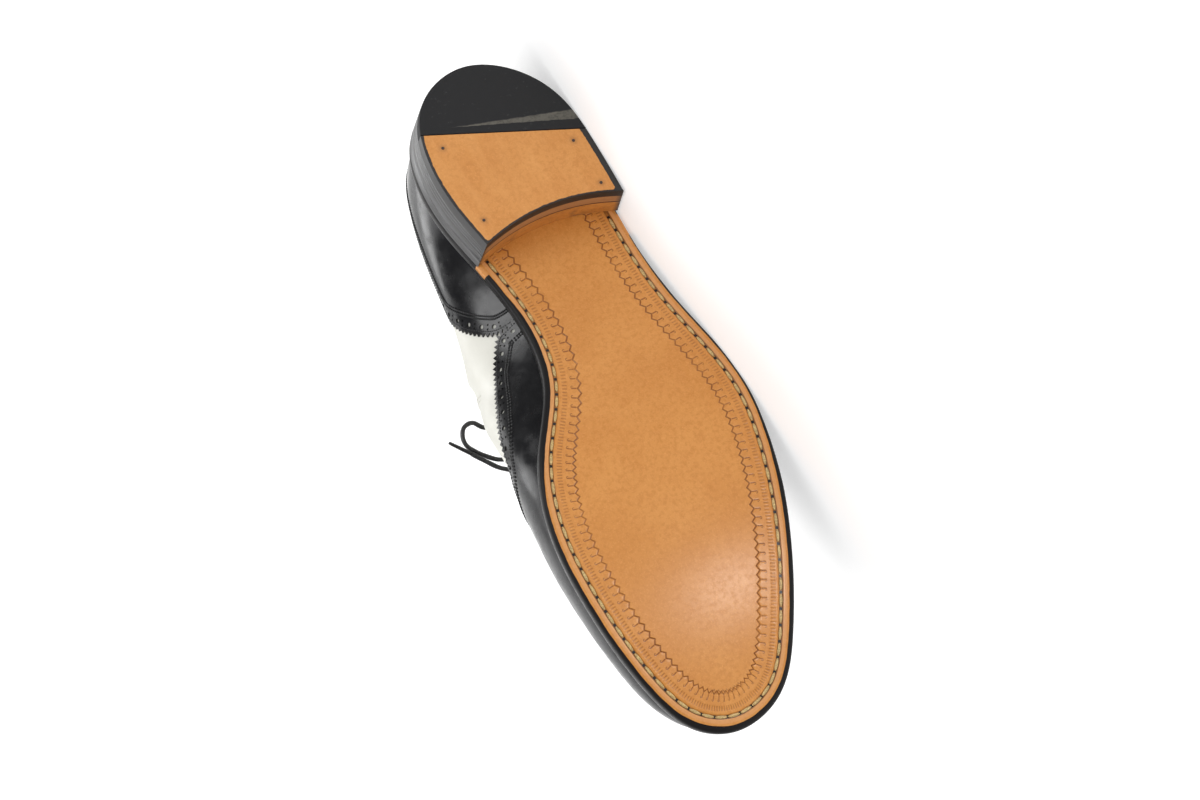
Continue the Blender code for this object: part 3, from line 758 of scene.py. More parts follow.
def border_stamp(f, run, inset):
    """Ticks, hooked pickets and the spot at the toe where the roller's start and end overlap."""
    ticks = f.times(f.fall(triangle_wave(f, run, TICK_PITCH), 0.14, 0.28), f.band(inset, *TICKS, 0.12))
    fold = triangle_wave(f, run, PICKET_PITCH)
    aside = f.times(f.sum("SUBTRACT", 0.5, fold), PICKET_PITCH)
    tails = f.times(f.fall(aside, 0.16, 0.40), f.band(inset, *TAILS, 0.1))
    beyond = f.sum("FRACT", f.sum("ADD", f.sum("DIVIDE", run, PICKET_PITCH), 0.5))
    beyond = f.times(f.sum("SUBTRACT", beyond, 0.5), PICKET_PITCH)
    reach = f.sum("ADD", f.sum("POWER", f.sum("SUBTRACT", beyond, HOOK_SIDE), 2.0),
                  f.sum("POWER", f.sum("SUBTRACT", inset, TAILS[0] + HOOK_RISE), 2.0))
    ring = f.apart(f.sum("SQRT", reach), HOOK_RADIUS)
    hook = f.times(f.fall(ring, 0.08, 0.26), f.fall(inset, TAILS[0] + 0.5, TAILS[0] + 0.8))
    pickets = f.sum("MAXIMUM", zigzag_line(f, fold, inset, ZIGZAG[1], 0.42, 0.17), tails)
    pickets = f.sum("MAXIMUM", pickets, hook)
    second = triangle_wave(f, run, PICKET_PITCH, OVERLAP_SHIFT)
    again = zigzag_line(f, second, inset, ZIGZAG[1] + OVERLAP_RISE, 0.36, 0.15)
    again = f.times(again, f.fall(f.apart(run, EDGE_RUN[LATERAL]), *OVERLAP_REACH))
    return f.sum("MAXIMUM", f.sum("MAXIMUM", pickets, again), f.times(ticks, 0.5))


def sole_finish():
    f = Finish("sole leather", TAN, 0.36)
    colour, grain = tan_leather(f)
    run, inset, ink_reach = f.named("run"), f.named("inset"), f.named("ink_reach")
    worn = f.fade(f.noise(45.0, 2.0), 0.34, 0.54, 0.65, 1.0)
    stamped = f.times(border_stamp(f, run, inset), worn)
    # Black spots at the awl holes: painted shade, since no hole is cut.
    holes = f.times(f.fade(triangle_wave(f, run, STITCH_PITCH), 0.39, 0.43),
                    f.band(inset, STITCH_INSET - 0.65, STITCH_INSET + 0.65, 0.12))
    # Painted shade in the channel: over its bed, and darker on its outer wall.
    channel_bed_shade = f.band(inset, STITCH_INSET - 0.7, STITCH_INSET + 0.7, 0.2)
    wall = f.band(inset, STITCH_INSET - 1.1, STITCH_INSET - 0.5, 0.12)
    channel_shade = f.sum("MAXIMUM", f.times(channel_bed_shade, 0.5), f.times(wall, 0.8))
    # Lighter tint on the lip outside the channel: partly burnish, partly a painted sheen.
    lip_burnish_and_sheen = f.band(inset, 2.4, 4.0, 0.3)
    colour = f.blend(f.times(lip_burnish_and_sheen, 0.3), colour, LIP_BURNISH_AND_SHEEN_TAN)
    colour = f.blend(f.times(stamped, 0.75), colour, STAMP_BROWN)
    colour = f.blend(channel_shade, colour, CHANNEL_SHADE_BROWN)
    colour = f.blend(holes, colour, HOLE_SHADE_BLACK)
    ragged = f.sum("MULTIPLY_ADD", f.noise(140.0, 2.0), 0.5, inset)
    ink = f.fade(f.sum("SUBTRACT", ink_reach, ragged), -0.35, -0.15)
    f.feed("Base Color", f.blend(ink, colour, INK))
    f.feed("Roughness", f.sum("ADD", f.fade(ink, 0.0, 1.0, 0.36, 0.4), f.fade(grain, 0.5, 1.0, 0.0, 0.10)))
    f.feed("Specular IOR Level", f.fade(ink, 0.0, 1.0, 0.36, 0.09))
    f.feed("Normal", f.bump(grain, 0.00006, 0.6))
    return f.material


SOLE_FINISH = sole_finish()
print("finish", SOLE_FINISH.name)

# %% [markdown]
# ## Outsole
# A sewn leather sole has a rounded, inked edge, a channel cut for the thread and a border pressed in by a
# roller. The strip round the edge gets a column of points at each line of the roller's pattern, so every
# tick and picket is a real groove with few faces. Flat fills close its top and bottom.

# %% Strip round the sole
TOTAL = EDGE_RUN[LATERAL] + EDGE_RUN[MEDIAL]
BREAST_BARE = {LATERAL: 10.0, MEDIAL: 5.5}
RIM_FLARE_X = (100.0, 122.0, 155.0, 172.0, 196.0, 228.0)
RIM_FLARE = (0.0, 0.6, 0.6, 0.1, 0.2, 1.1)
FLARE_FADE = 40.0
FLARE_DEPTH = 3.0
OUTER_INK_X = (150.0, 185.0)
OUTER_INK = (1.0, 1.5)
INNER_INK_X = (100.0, 114.0, 178.0, 198.0)
INNER_INK = (1.8, 2.6, 2.5, 1.5)
NO_INK = -10.0
MIDDLE_SPACING = 7.0
MIDDLE_CLEARANCE = 2.5


def round_the_sole(run, inset, level):
    """Points round the sole at distances along its edge from the heel back, moved inward and up."""
    outer = edge(LATERAL, np.clip(run / EDGE_RUN[LATERAL], 0.0, 1.0), inset)
    inner = edge(MEDIAL, np.clip((TOTAL - run) / EDGE_RUN[MEDIAL], 0.0, 1.0), inset)
    flat = np.where((run <= EDGE_RUN[LATERAL])[:, None], outer, inner)
    return np.c_[flat, ground(flat[:, 0]) + level]


def bare_edge(run):
    """1 where the edge just ahead of the heel is left bare, 0 where it is inked."""
    x = round_the_sole(run, 0.0, 0.0)[:, 0] - BREAST_X
    length = np.where(run > EDGE_RUN[LATERAL], BREAST_BARE[MEDIAL], BREAST_BARE[LATERAL])
    return np.clip(x + 1.0, 0.0, 1.0) * np.clip(length - x, 0.0, 1.0)


def rim_flare(run):
    """How far the edge stands out: a little along the outer side and round the toe."""
    x = round_the_sole(run, 0.0, 0.0)[:, 0]
    past_toe = np.clip((run - EDGE_RUN[LATERAL]) / FLARE_FADE, 0.0, 1.0)
    return np.interp(x, RIM_FLARE_X, RIM_FLARE) * (1 - ease(past_toe))


def flared(run, profile):
    """A profile's insets with the flare added near the rim."""
    flare = rim_flare(run)
    return [(inset - flare * max(1 - inset / FLARE_DEPTH, 0.0), level) for inset, level in profile]


def ringed(name, run, profile, values_of):
    """A slab the shape of the sole: a strip round its edge, with both inner rims filled across."""
    piece = sheet(name, [round_the_sole(run, *row) for row in profile],
                  {key: [values_of(run, row[0])[key] for row in profile] for key in values_of(run, 0.0)})
    parts = [piece]
    for inset, level in (profile[0], profile[-1]):
        rim = round_the_sole(run, inset, 0.0)[:-1, :2]
        flat, triangles = fill(rim, MIDDLE_SPACING, MIDDLE_CLEARANCE)
        runs = np.r_[run[:-1], np.zeros(len(flat) - len(rim))]
        points = np.c_[flat, ground(flat[:, 0]) + level]
        parts.append(from_faces(name + "_middle", points, triangles, values_of(runs, np.max(inset))))
    bpy.ops.object.select_all(action="DESELECT")
    for part in parts:
        part.select_set(True)
    bpy.context.view_layer.objects.active = piece
    bpy.ops.object.join()
    merge_points(piece, outward=True)
    return piece


print("edge round the sole", round(TOTAL, 1))

# %% Outsole
PRESSED = 0.26
SOLE_RIM = 17.5
COLUMN_GAP = 0.06
LAST_GAP = 0.1
EDGE_PROFILE = (
    # inset, level above the underside, from the channel to the top
    (6.4, 0.0), (6.1, 0.12), (5.85, 0.62), (4.6, 0.62), (4.35, 0.12), (4.05, 0.0), (3.2, 0.0), (2.3, 0.07),
    (1.6, 0.22), (0.95, 0.52), (0.4, 1.05), (0.1, 1.8), (0.0, 2.6), (0.0, 3.9), (0.12, 4.5), (0.6, 4.95),
    (2.0, 5.0), (SOLE_RIM, 5.0),
)


def border_columns():
    """Distances along the edge where the roller's lines start, are deepest and end."""
    repeat = 3 * PICKET_PITCH
    ticks = [(k + 0.5) * TICK_PITCH + side for k in range(8) for side in (-GROOVE, 0.0, GROOVE)]
    pickets = [(k * 0.5) * PICKET_PITCH for k in range(6)]
    tails = [k * PICKET_PITCH + side for k in range(4) for side in (-GROOVE, GROOVE)]
    marks = np.mod(np.array(ticks + pickets + tails), repeat)
    marks = np.unique(np.round(marks, 3))
    marks = marks[np.r_[True, np.diff(marks) > COLUMN_GAP]]
    columns = np.concatenate([marks + number * repeat for number in range(int(TOTAL / repeat) + 1)])
    return np.r_[columns[columns < TOTAL - LAST_GAP], TOTAL]


def nearness(run, pitch, shift):
    """1 at each line of a row of grooves, falling to 0 at its sides."""
    off = np.abs(np.mod(run / pitch + shift + 0.5, 1.0) - 0.5) * pitch
    return np.clip(1 - off / GROOVE, 0.0, 1.0)


def sole_profile(run):
    """Insets and levels of the strip's rows, with ticks, tails and zigzag pressed in."""
    fold = np.abs(np.mod(run / PICKET_PITCH, 1.0) - 0.5)
    line = ZIGZAG[1] - 2 * (ZIGZAG[1] - ZIGZAG[0]) * fold
    tail = PRESSED * nearness(run, PICKET_PITCH, 0.0)
    tick = PRESSED * nearness(run, TICK_PITCH, 0.5)
    zigzag = [(line + GROOVE + 0.3, 0.0), (line + GROOVE, 0.0), (line, PRESSED), (line - GROOVE, 0.0)]
    tails = [(TAILS[1] - 0.2, tail), (TAILS[0] + 0.2, tail), (TAILS[0] - 0.1, 0.0), (TAILS[0] - 0.4, 0.0)]
    ticks = [(TICKS[1] + 0.4, 0.0), (TICKS[1] + 0.1, 0.0), (TICKS[1] - 0.2, tick), (TICKS[0] + 0.2, tick),
             (TICKS[0] - 0.1, 0.0)]
    return [(SOLE_RIM, 0.0), *zigzag, *tails, *ticks, *flared(run, EDGE_PROFILE)]


def sole_values(run, inset):
    x = round_the_sole(run, 0.0, 0.0)[:, 0]
    outer, inner = np.interp(x, OUTER_INK_X, OUTER_INK), np.interp(x, INNER_INK_X, INNER_INK)
    reach = np.where(run > EDGE_RUN[LATERAL], inner, outer)
    return {"run": run, "inset": np.zeros(len(run)) + inset, "ink_reach": reach + NO_INK * bare_edge(run)}


columns = border_columns()
outsole = ringed("outsole_leather", columns, sole_profile(columns), sole_values)
dress(outsole, SOLE_FINISH, "sole_leather", "outsole", angle=50.0)

# %% [markdown]
# ## Sole stitching
# Thick waxed linen thread lies in the channel, one stitch between each pair of awl holes. Each stitch is
# a stretched ball set into the channel, and the row stops where the heel begins.

# %% Thread finish and sole stitches
def thread_finish(name, colour, dark, roughness=0.6):
    f = Finish(name, colour, roughness)
    f.feed("Base Color", f.blend(f.fade(f.noise(1600.0, 2.0), 0.35, 0.65), dark, colour))
    f.feed("Normal", f.bump(f.noise(2600.0, 2.0), 0.00006, 0.6))
    return f.material


LINEN = thread_finish("linen thread", (0.60, 0.43, 0.17), (0.36, 0.24, 0.09))
SOLE_STITCH_SIZE = (5.6, 1.45, 1.1)
SOLE_STITCH_DEPTH = 0.32
SLOPE_STEPS = (-0.4, 0.4)
FIRST_STITCH_X = BREAST_X - 1.5


def thread_axes(ahead, way):
    """Forward, side and up axes of stitches that face the ground (-1) or away from it (1)."""
    up = unit(way * (np.array([0.0, 0.0, 1.0]) - ahead * ahead[:, 2:]))
    return ahead, np.cross(up, ahead), up


run = (np.arange(int(TOTAL / STITCH_PITCH)) + 0.5) * STITCH_PITCH
places = round_the_sole(run, STITCH_INSET, SOLE_STITCH_DEPTH)
before, after = (round_the_sole(run + step, STITCH_INSET, SOLE_STITCH_DEPTH) for step in SLOPE_STEPS)
shown = places[:, 0] > FIRST_STITCH_X
axes = thread_axes(unit(after - before)[shown], -1)
copies("sole_stitches", ball(10, 8), places[shown], axes, SOLE_STITCH_SIZE, LINEN, "sole_leather")

# %% [markdown]
# ## Inked edges and welt
# The welt is the strip that joins upper and sole. Its edge is inked black like the heel's sides, and a
# row of stitches runs along its top in a shallow groove.

# %% Welt
def ink_finish():
    f = Finish("edge ink", INK, 0.3, Specular_IOR_Level=0.3)
    layers = f.noise(220.0, 4.0, 0.6)
    f.feed("Base Color", f.blend(f.fade(layers, 0.4, 0.75), INK, (0.028, 0.027, 0.026)))
    f.wander(320.0, 0.22, 0.36)
    f.feed("Normal", f.bump(layers, 0.00012, 0.35))
    return f.material


INK_FINISH = ink_finish()
WELT_THREAD = thread_finish("welt thread", (0.30, 0.28, 0.24), (0.12, 0.11, 0.09))
WELT_PROFILE = (
    # inset, level above the underside
    (9.9, 5.05), (0.8, 5.05), (0.45, 5.25), (0.35, 6.0), (0.35, 7.2), (0.55, 7.75), (1.0, 8.0), (1.9, 8.02),
    (2.2, 7.8), (2.8, 7.8), (3.1, 8.02), (9.9, 8.05), (9.9, 5.05),
)
WELT_STITCH_INSET = 2.5
WELT_STITCH_PITCH = 3.4
WELT_STITCH_SIZE = (2.9, 0.8, 0.6)
WELT_STITCH_LEVEL = 7.95
WELT_STATIONS = 720
around = np.linspace(0.0, TOTAL, WELT_STATIONS)
rows = [round_the_sole(around, *row) for row in flared(around, WELT_PROFILE)]
welt = sheet("welt_strip", rows, outward=True)
dress(welt, INK_FINISH, "edge_black", "welt")
spots = np.linspace(0.0, TOTAL, round(TOTAL / WELT_STITCH_PITCH), endpoint=False)
places = round_the_sole(spots, WELT_STITCH_INSET, WELT_STITCH_LEVEL)
ahead = unit(np.roll(places, -1, axis=0) - np.roll(places, 1, axis=0))
axes = thread_axes(ahead, 1)
copies("welt_stitches", STITCH, places, axes, WELT_STITCH_SIZE, WELT_THREAD, "edge_black")

# %% [markdown]
# ## Heel stack
# The heel is built of leather lifts glued in layers. Its sides are inked and sanded, so the lifts show as
# fine lines, and its hollow breast stays tan with a pale lift and a dark glue line near the bottom.

# %% Heel stack
HEEL_SIDE = 90
HEEL_BREAST = 28
HEEL_ROUND = 2 * HEEL_SIDE - 1
HEEL_PLAY = 0.05
LIFT_LINES = (0.10, 0.24, 0.377, 0.68)
LINE_HALF = 0.012
LINE_DEPTH = 0.12
PALE_LIFT = (12.0, 12.4)
GLUE_LINE = (12.1, 13.0)


def heel_ring(inset):
    """The heel seen from above: outer side, back, inner side and the hollow breast."""
    corner = {side: fraction_at(side, BREAST_ENDS[side]) for side in SIDES}
    sides = np.vstack([edge(LATERAL, np.linspace(corner[LATERAL], 0.0, HEEL_SIDE), inset),
                       edge(MEDIAL, np.linspace(0.0, corner[MEDIAL], HEEL_SIDE)[1:], inset)])
    share = np.linspace(0.0, 1.0, HEEL_BREAST + 1)[1:-1, None]
    breast = sides[-1] + share * (sides[0] - sides[-1])
    breast[:, :1] -= BREAST_HOLLOW * 4 * share * (1 - share)
    return np.vstack([sides, breast])


def stack_finish():
    f = Finish("heel stack", INK, 0.32)
    colour, grain = tan_leather(f)
    level, breast = f.named("level"), f.named("breast")
    soot = f.fade(f.noise(90.0, 4.0, 0.65), 0.50, 0.72, 0.0, 0.55)
    wall = f.blend(soot, colour, (0.16, 0.07, 0.03))
    wall = f.blend(f.times(f.fall(level, *PALE_LIFT), 0.75), wall, (0.34, 0.17, 0.08))
    wall = f.blend(f.band(level, *GLUE_LINE, 0.12), wall, (0.03, 0.018, 0.012))
    lines = f.noise(700.0, 3.0, 0.6, stretch=(0.06, 1.0, 0.06))
    side = f.blend(f.fade(lines, 0.42, 0.72), INK, (0.060, 0.060, 0.063))
    f.feed("Base Color", f.blend(breast, side, wall))
    f.feed("Roughness", f.fade(breast, 0.0, 1.0, 0.34, 0.55))
    f.feed("Normal", f.bump(f.blend(breast, lines, grain), 0.00012, 0.4))
    return f.material


shares = [0.0]
for line in LIFT_LINES:
    shares.extend((line - LINE_HALF, line, line + LINE_HALF))
shares.append(1.0)
low = TOP_LIFT + HEEL_PLAY
rows = []
for share in shares:
    dent = LINE_DEPTH if share in LIFT_LINES else 0.0
    flat = heel_ring(HEEL_TAPER * (1 - low / BREAST_HEIGHT) * (1 - share) + dent)
    rows.append(np.c_[flat, low + share * (ground(flat[:, 0]) - HEEL_PLAY - low)])
bottom, top = (np.tile(row.mean(axis=0), (len(row), 1)) for row in (rows[0], rows[-1]))
rows = np.array([np.vstack([row, row[:1]]) for row in (bottom, *rows, top)])
marks = np.r_[np.zeros(HEEL_ROUND), np.ones(HEEL_BREAST - 1), 0.0]
values = {"level": rows[:, :, 2], "breast": np.tile(marks, (len(rows), 1))}
stack = sheet("heel_lifts", rows, values, outward=True)
dress(stack, stack_finish(), "edge_black", "heel_stack")

# %% [markdown]
# ## Top piece and rubber
# The wearing surface is leather in front and rubber behind, parted by a slanted joint. The leather is
# inked along its outer border and held by nails. Both start from the heel's ring cut along the joint.

# %% Cutting and filling flat blocks
JOINT_OUTER, JOINT_INNER = (np.array(LIFT_JOINT[side]) for side in SIDES)
JOINT_LINE = JOINT_OUTER - JOINT_INNER
JOINT_FORWARD = unit(np.array([-JOINT_LINE[1], JOINT_LINE[0]]))
JOINT_GAP = 0.12
JOINT_SPACING = 2.2


def cut_ring(ring, keep):
    """The part of a ring in front of (1) or behind (-1) the joint, with points along the joint too."""
    gauge = (ring - JOINT_OUTER) @ JOINT_FORWARD * keep - JOINT_GAP
    kept, on_joint = [], []
    for k in range(len(ring)):
        a, b = gauge[k], gauge[(k + 1) % len(ring)]
        if a > 0:
            kept.append(ring[k])
            on_joint.append(False)
        if (a > 0) != (b > 0):
            kept.append(ring[k] + (ring[(k + 1) % len(ring)] - ring[k]) * a / (a - b))
            on_joint.append(True)
    points = []
    for k, start in enumerate(kept):
        after = (k + 1) % len(kept)
        points.append(start)
        if on_joint[k] and on_joint[after]:
            count = int(np.linalg.norm(kept[after] - start) / JOINT_SPACING)
            shares = np.linspace(0.0, 1.0, count + 1)[1:-1]
            points.extend(start + (kept[after] - start) * share for share in shares)
    return np.array(points)


def block(low_ring, high_ring, height, rounding, spacing):
    """A flat-bottomed block with a rounded lower rim; its bottom is filled with a fine mesh."""
    floor, triangles = fill(shrink(low_ring, rounding), spacing, spacing * 0.5)
    size = len(low_ring)
    rings = (shrink(low_ring, rounding * 0.3), rounding * 0.25), (low_ring, rounding), (high_ring, height)
    walls = [np.c_[ring, np.full(size, level)] for ring, level in rings]
    points = np.vstack([np.c_[floor, np.zeros(len(floor))], *walls])
    starts = [0] + [len(floor) + k * size for k in range(len(rings))]
    faces = [list(t) for t in triangles]
    for first, second in zip(starts, starts[1:]):
        faces.extend(quads(first, second, size))
    faces.append([starts[-1] + k for k in range(size)])
    return points, faces


print("joint", round(length_of(np.array([JOINT_OUTER, JOINT_INNER])), 1), "mm long")

# %% Top piece and rubber finishes
NAILS = ((34.5, 28.9), (51.0, -26.6), (73.6, -29.7), (71.7, 25.8))
NAIL_SIZE = (1.7, 1.7, 0.5)
SIDE_INK = {LATERAL: 2.8, MEDIAL: 1.3}
FRONT_INK = 0.8
HALO = 2.4


def top_piece_finish():
    f = Finish("top piece leather", TAN, 0.5)
    colour, grain = tan_leather(f)
    streaks = f.noise(60.0, 4.0, 0.6, stretch=(0.5, 1.0, 2.4))
    colour = f.blend(f.fade(streaks, 0.4, 0.75, 0.0, 0.35), colour, TAN_LIGHT)
    colour = f.blend(f.times(f.named("halo"), 0.55), colour, (0.16, 0.06, 0.02))
    ragged = f.sum("MULTIPLY_ADD", f.noise(420.0, 3.0), 0.7, f.named("rim"))
    f.feed("Base Color", f.blend(f.fall(ragged, 0.25, 0.5), colour, INK))
    f.feed("Normal", f.bump(grain, 0.00006, 0.5))
    return f.material


def rubber_finish():
    f = Finish("black rubber", (0.013, 0.013, 0.014), 0.7, Specular_IOR_Level=0.3)
    behind, along = f.named("behind"), f.named("along")
    dust = f.noise(520.0, 3.0, 0.7)
    # A lighter grey wedge behind the joint, between two slanted lines: partly wear, partly a painted
    # highlight of a bevelled facet that is not modelled.
    low = f.sum("MULTIPLY_ADD", along, 2.1, 3.2)
    high = f.sum("MULTIPLY_ADD", along, 8.0, 2.2)
    rough_edge = f.sum("MULTIPLY_ADD", f.noise(350.0), 0.9, behind)
    bevel_wear_and_highlight_band = f.times(f.fade(f.sum("SUBTRACT", rough_edge, low), -0.1, 0.2),
                         f.fade(f.sum("SUBTRACT", high, rough_edge), -0.2, 0.5))
    bevel_wear_and_highlight = f.times(bevel_wear_and_highlight_band, f.fade(dust, 0.25, 0.6, 0.5, 1.0))
    grey = f.blend(f.fade(dust, 0.62, 0.74), (0.012, 0.012, 0.013), (0.03, 0.03, 0.03))
    f.feed("Base Color", f.blend(bevel_wear_and_highlight, grey, (0.105, 0.098, 0.082)))
    f.feed("Normal", f.bump(dust, 0.0001, 0.35))
    return f.material


print("nails", len(NAILS))

# %% Top piece, rubber tip and nails
RIM_ROUNDING = 0.35
BOTTOM_SPACING = 1.3
BOTTOM_LEVEL = 0.5
NO_RIM = -1.0
SIDE_SAMPLES = 900
BREAST_SAMPLES = 300
NAIL_LEVEL = 0.12
HEEL_BLOCKS = (
    # piece, node, part of the ring that is kept, slot, finish
    ("heel_top_piece", "heel_top_lift", 1, "sole_leather", top_piece_finish),
    ("heel_rubber", "heel_rubber_tip", -1, "black_rubber", rubber_finish),
)
high_inset = HEEL_TAPER * (1 - TOP_LIFT / BREAST_HEIGHT)
ring = heel_ring(HEEL_TAPER)
sides = tree_of(evenly(ring[:HEEL_ROUND], SIDE_SAMPLES))
breast = tree_of(evenly(np.vstack([ring[HEEL_ROUND - 1:], ring[:1]]), BREAST_SAMPLES))
for name, node, keep, slot, finish in HEEL_BLOCKS:
    low_ring, high_ring = cut_ring(ring, keep), cut_ring(heel_ring(high_inset), keep)
    if len(high_ring) != len(low_ring):
        high_ring = shrink(low_ring, high_inset - HEEL_TAPER)
    points, faces = block(low_ring, high_ring, TOP_LIFT - HEEL_PLAY, RIM_ROUNDING, BOTTOM_SPACING)
    rim = []
    for x, y, z in points:
        side_ink = SIDE_INK[LATERAL] if y < 0.0 else SIDE_INK[MEDIAL]
        inner = min(sides.find((x, y, 0.0))[2] - side_ink, breast.find((x, y, 0.0))[2] - FRONT_INK)
        rim.append(inner if z < BOTTOM_LEVEL else NO_RIM)
    halo = sum(np.exp(-np.sum((points[:, :2] - nail) ** 2, axis=1) / HALO) for nail in np.array(NAILS))
    from_joint = points[:, :2] - JOINT_INNER
    values = {"rim": rim, "halo": halo, "behind": np.abs(from_joint @ JOINT_FORWARD),
              "along": from_joint @ JOINT_LINE / (JOINT_LINE @ JOINT_LINE)}
    dress(from_faces(name, points, faces, values, outward=True), finish(), slot, node)
nail_places = np.array([(*nail, NAIL_LEVEL) for nail in NAILS])
nail_axes = [np.tile(axis, (len(NAILS), 1)) for axis in ((1.0, 0, 0), (0, -1.0, 0), (0, 0, -1.0))]
nail_finish = worn_finish("nail", (0.035, 0.018, 0.010), 900.0, 0.35, 0.6)
copies("heel_nails", ball(12, 6), nail_places, nail_axes, NAIL_SIZE, nail_finish, "sole_leather")

# %% [markdown]
# ## White upper
# Quarters and vamp are white calf over a leather lining. The sheet is drawn rib by rib round the last and
# given its wall inward, so the lining gets its own finish.

# %% Upper
UPPER_STATIONS = 320
UPPER_ROWS = 44
PANEL_FOOT = -0.012


def calf_finish(name, colour, shade, roughness, grain_depth, sheen):
    f = Finish(name, colour, roughness, Specular_IOR_Level=sheen)
    f.feed("Base Color", f.blend(f.fade(f.noise(55.0, 4.0), 0.35, 0.7), colour, shade))
    f.wander(130.0, roughness - 0.06, roughness + 0.10, 4.0, 0.6)
    grain = f.add("ShaderNodeTexVoronoi", {"Vector": f.place, "Scale": 1500.0}).outputs["Distance"]
    f.feed("Normal", f.bump(grain, grain_depth, 0.35, f.bump(f.noise(240.0, 4.0), grain_depth * 2.0, 0.3)))
    return f.material


WHITE_CALF = calf_finish("white calf", (0.68, 0.672, 0.61), (0.64, 0.632, 0.57), 0.42, 0.00003, 0.5)
BLACK_CALF = calf_finish("black calf", (0.006, 0.006, 0.007), (0.011, 0.011, 0.012), 0.20, 0.00002, 0.34)
LINING = calf_finish("lining leather", (0.56, 0.40, 0.24), (0.46, 0.31, 0.17), 0.6, 0.00005, 0.4)
girths = np.linspace(0.0, 2.0, 2 * UPPER_STATIONS + 1)
rows = [skin(girths, height) for height in np.linspace(PANEL_FOOT, 1.0, UPPER_ROWS)]
upper = sheet("upper_calf", rows)
thicken(upper, UPPER_WALL, False, WHITE_CALF, LINING)
dress(upper, None, "white_calf", "upper")

# %% [markdown]
# ## Overlays
# Wing cap and counter are black calf with a pinked edge and a punched band: large holes that show the
# white below, alternating with pairs of small ones. Each panel is drawn flat in girth and height with its
# teeth and holes, filled with triangles, laid on the upper and thickened outward.

# %% Teeth and holes
FLAT = np.array([360.0, 100.0])
TOOTH_PITCH = 2.5
TOOTH_DEPTH = 1.9
BAND = 8.4
BIG_PITCH = 7.8
BIG_HOLE = 1.05
SMALL_HOLE = 0.48
SMALL_APART = 0.95
HOLE_ROW = 4.4
BIG_SIDES = 12
SMALL_SIDES = 8


def pinked(side, corners):
    """The pinked edge: rows of girth and height at the teeth's points and valleys."""
    girth, height = seam(side, corners, TOOTH_PITCH / 2)
    depth = np.where(np.arange(len(girth)) % 2 == 0, 0.0, TOOTH_DEPTH)
    depth[-1] = 0.0
    return np.stack(beside(side, girth, height, depth), axis=-1)


def level_line(start, end, count, height):
    """Places between two girths at one height, without both ends."""
    girth = np.linspace(start, end, count)[1:-1]
    return np.c_[girth, np.full(len(girth), height)]


def hole_at(girth, height, radius, sides):
    """A round hole's outline in girth and height."""
    here = np.full(sides, girth), np.full(sides, height)
    along = unit(skin_slopes(*here)[0])
    across = np.cross(skin_normal(*here), along)
    turn = np.linspace(0.0, 2 * math.pi, sides, endpoint=False)[:, None]
    move = radius * (np.cos(turn) * along + np.sin(turn) * across)
    return np.stack(step_on_skin(*here, move), axis=-1)


def punched(side, corners, skip_start, skip_end):
    """Hole outlines along the middle of the band."""
    girth, height = seam(side, corners, BIG_PITCH / 2)
    holes = []
    for k in range(skip_start, len(girth) - skip_end):
        near = slice(max(k - 1, 0), k + 2)
        mid = min(k, 1)
        if k % 2 == 0:
            g, h = beside(side, girth[near], height[near], HOLE_ROW)
            holes.append(hole_at(g[mid], h[mid], BIG_HOLE, BIG_SIDES))
            continue
        for apart in (-SMALL_APART, SMALL_APART):
            g, h = beside(side, girth[near], height[near], HOLE_ROW + apart)
            holes.append(hole_at(g[mid], h[mid], SMALL_HOLE, SMALL_SIDES))
    return holes


print("teeth every", TOOTH_PITCH, "mm, large holes every", BIG_PITCH, "mm")

# %% Overlay helper
OVERLAY = 1.05
OVERLAY_LIFT = 0.08
PANEL_SPACING = 2.4
PANEL_CLEARANCE = 0.9
OUTER_FACE = 0.85


def overlay(name, outline, holes, lift_of, node):
    """A panel cut to an outline in girth and height, laid on the upper."""
    cut_outs = [hole * FLAT for hole in holes]
    flat, triangles = fill(outline * FLAT, PANEL_SPACING, PANEL_CLEARANCE, cut_outs)
    girth, height = (flat / FLAT).T
    points = skin(girth, height, lift_of(girth))
    piece = from_faces(name, points, triangles, {"girth": girth, "height": height})
    thicken(piece, OVERLAY, True, BLACK_CALF)
    dress(piece, None, "black_calf", node)
    follow_last(piece)


def read(mesh, name):
    values = np.empty(len(mesh.vertices), np.float32)
    mesh.attributes[name].data.foreach_get("value", values)
    return values.astype(float)


def follow_last(piece):
    """Shades an overlay's outer face with the last's own normals, so its highlights run smoothly."""
    mesh = piece.data
    smooth = skin_normal(read(mesh, "girth"), read(mesh, "height")) @ np.array(TURN).T
    normals = np.array([corner.vector for corner in mesh.corner_normals])
    corners = np.array([loop.vertex_index for loop in mesh.loops])
    for face in mesh.polygons:
        span = slice(face.loop_start, face.loop_start + face.loop_total)
        if smooth[corners[face.loop_start]] @ np.array(face.normal) > OUTER_FACE:
            normals[span] = smooth[corners[span]]
    mesh.normals_split_custom_set(normals.tolist())


print("overlays", OVERLAY, "mm thick")

# %% Wing cap
WING_EDGE = (
    # fraction, height
    (0.362, -0.01), (0.367, 0.07), (0.374, 0.145), (0.398, 0.20), (0.432, 0.245), (0.475, 0.265),
    (0.515, 0.26), (0.545, 0.265), (0.575, 0.33), (0.610, 0.43), (0.650, 0.545), (0.695, 0.68),
    (0.715, 0.79), (0.705, 0.90), (0.670, 1.00),
)
TAIL_RISE = 1.15
TAIL_END = 0.376
TAIL_RUN = 0.012
RIDGE_POINTS = 61
WING_FOOT_POINTS = 300


def wing_lift(girth):
    """The tails ride up over the counter's front corners."""
    reach = np.minimum(girth, 2.0 - girth)
    return OVERLAY_LIFT + TAIL_RISE * ease(np.clip((TAIL_END - reach) / TAIL_RUN, 0.0, 1.0))


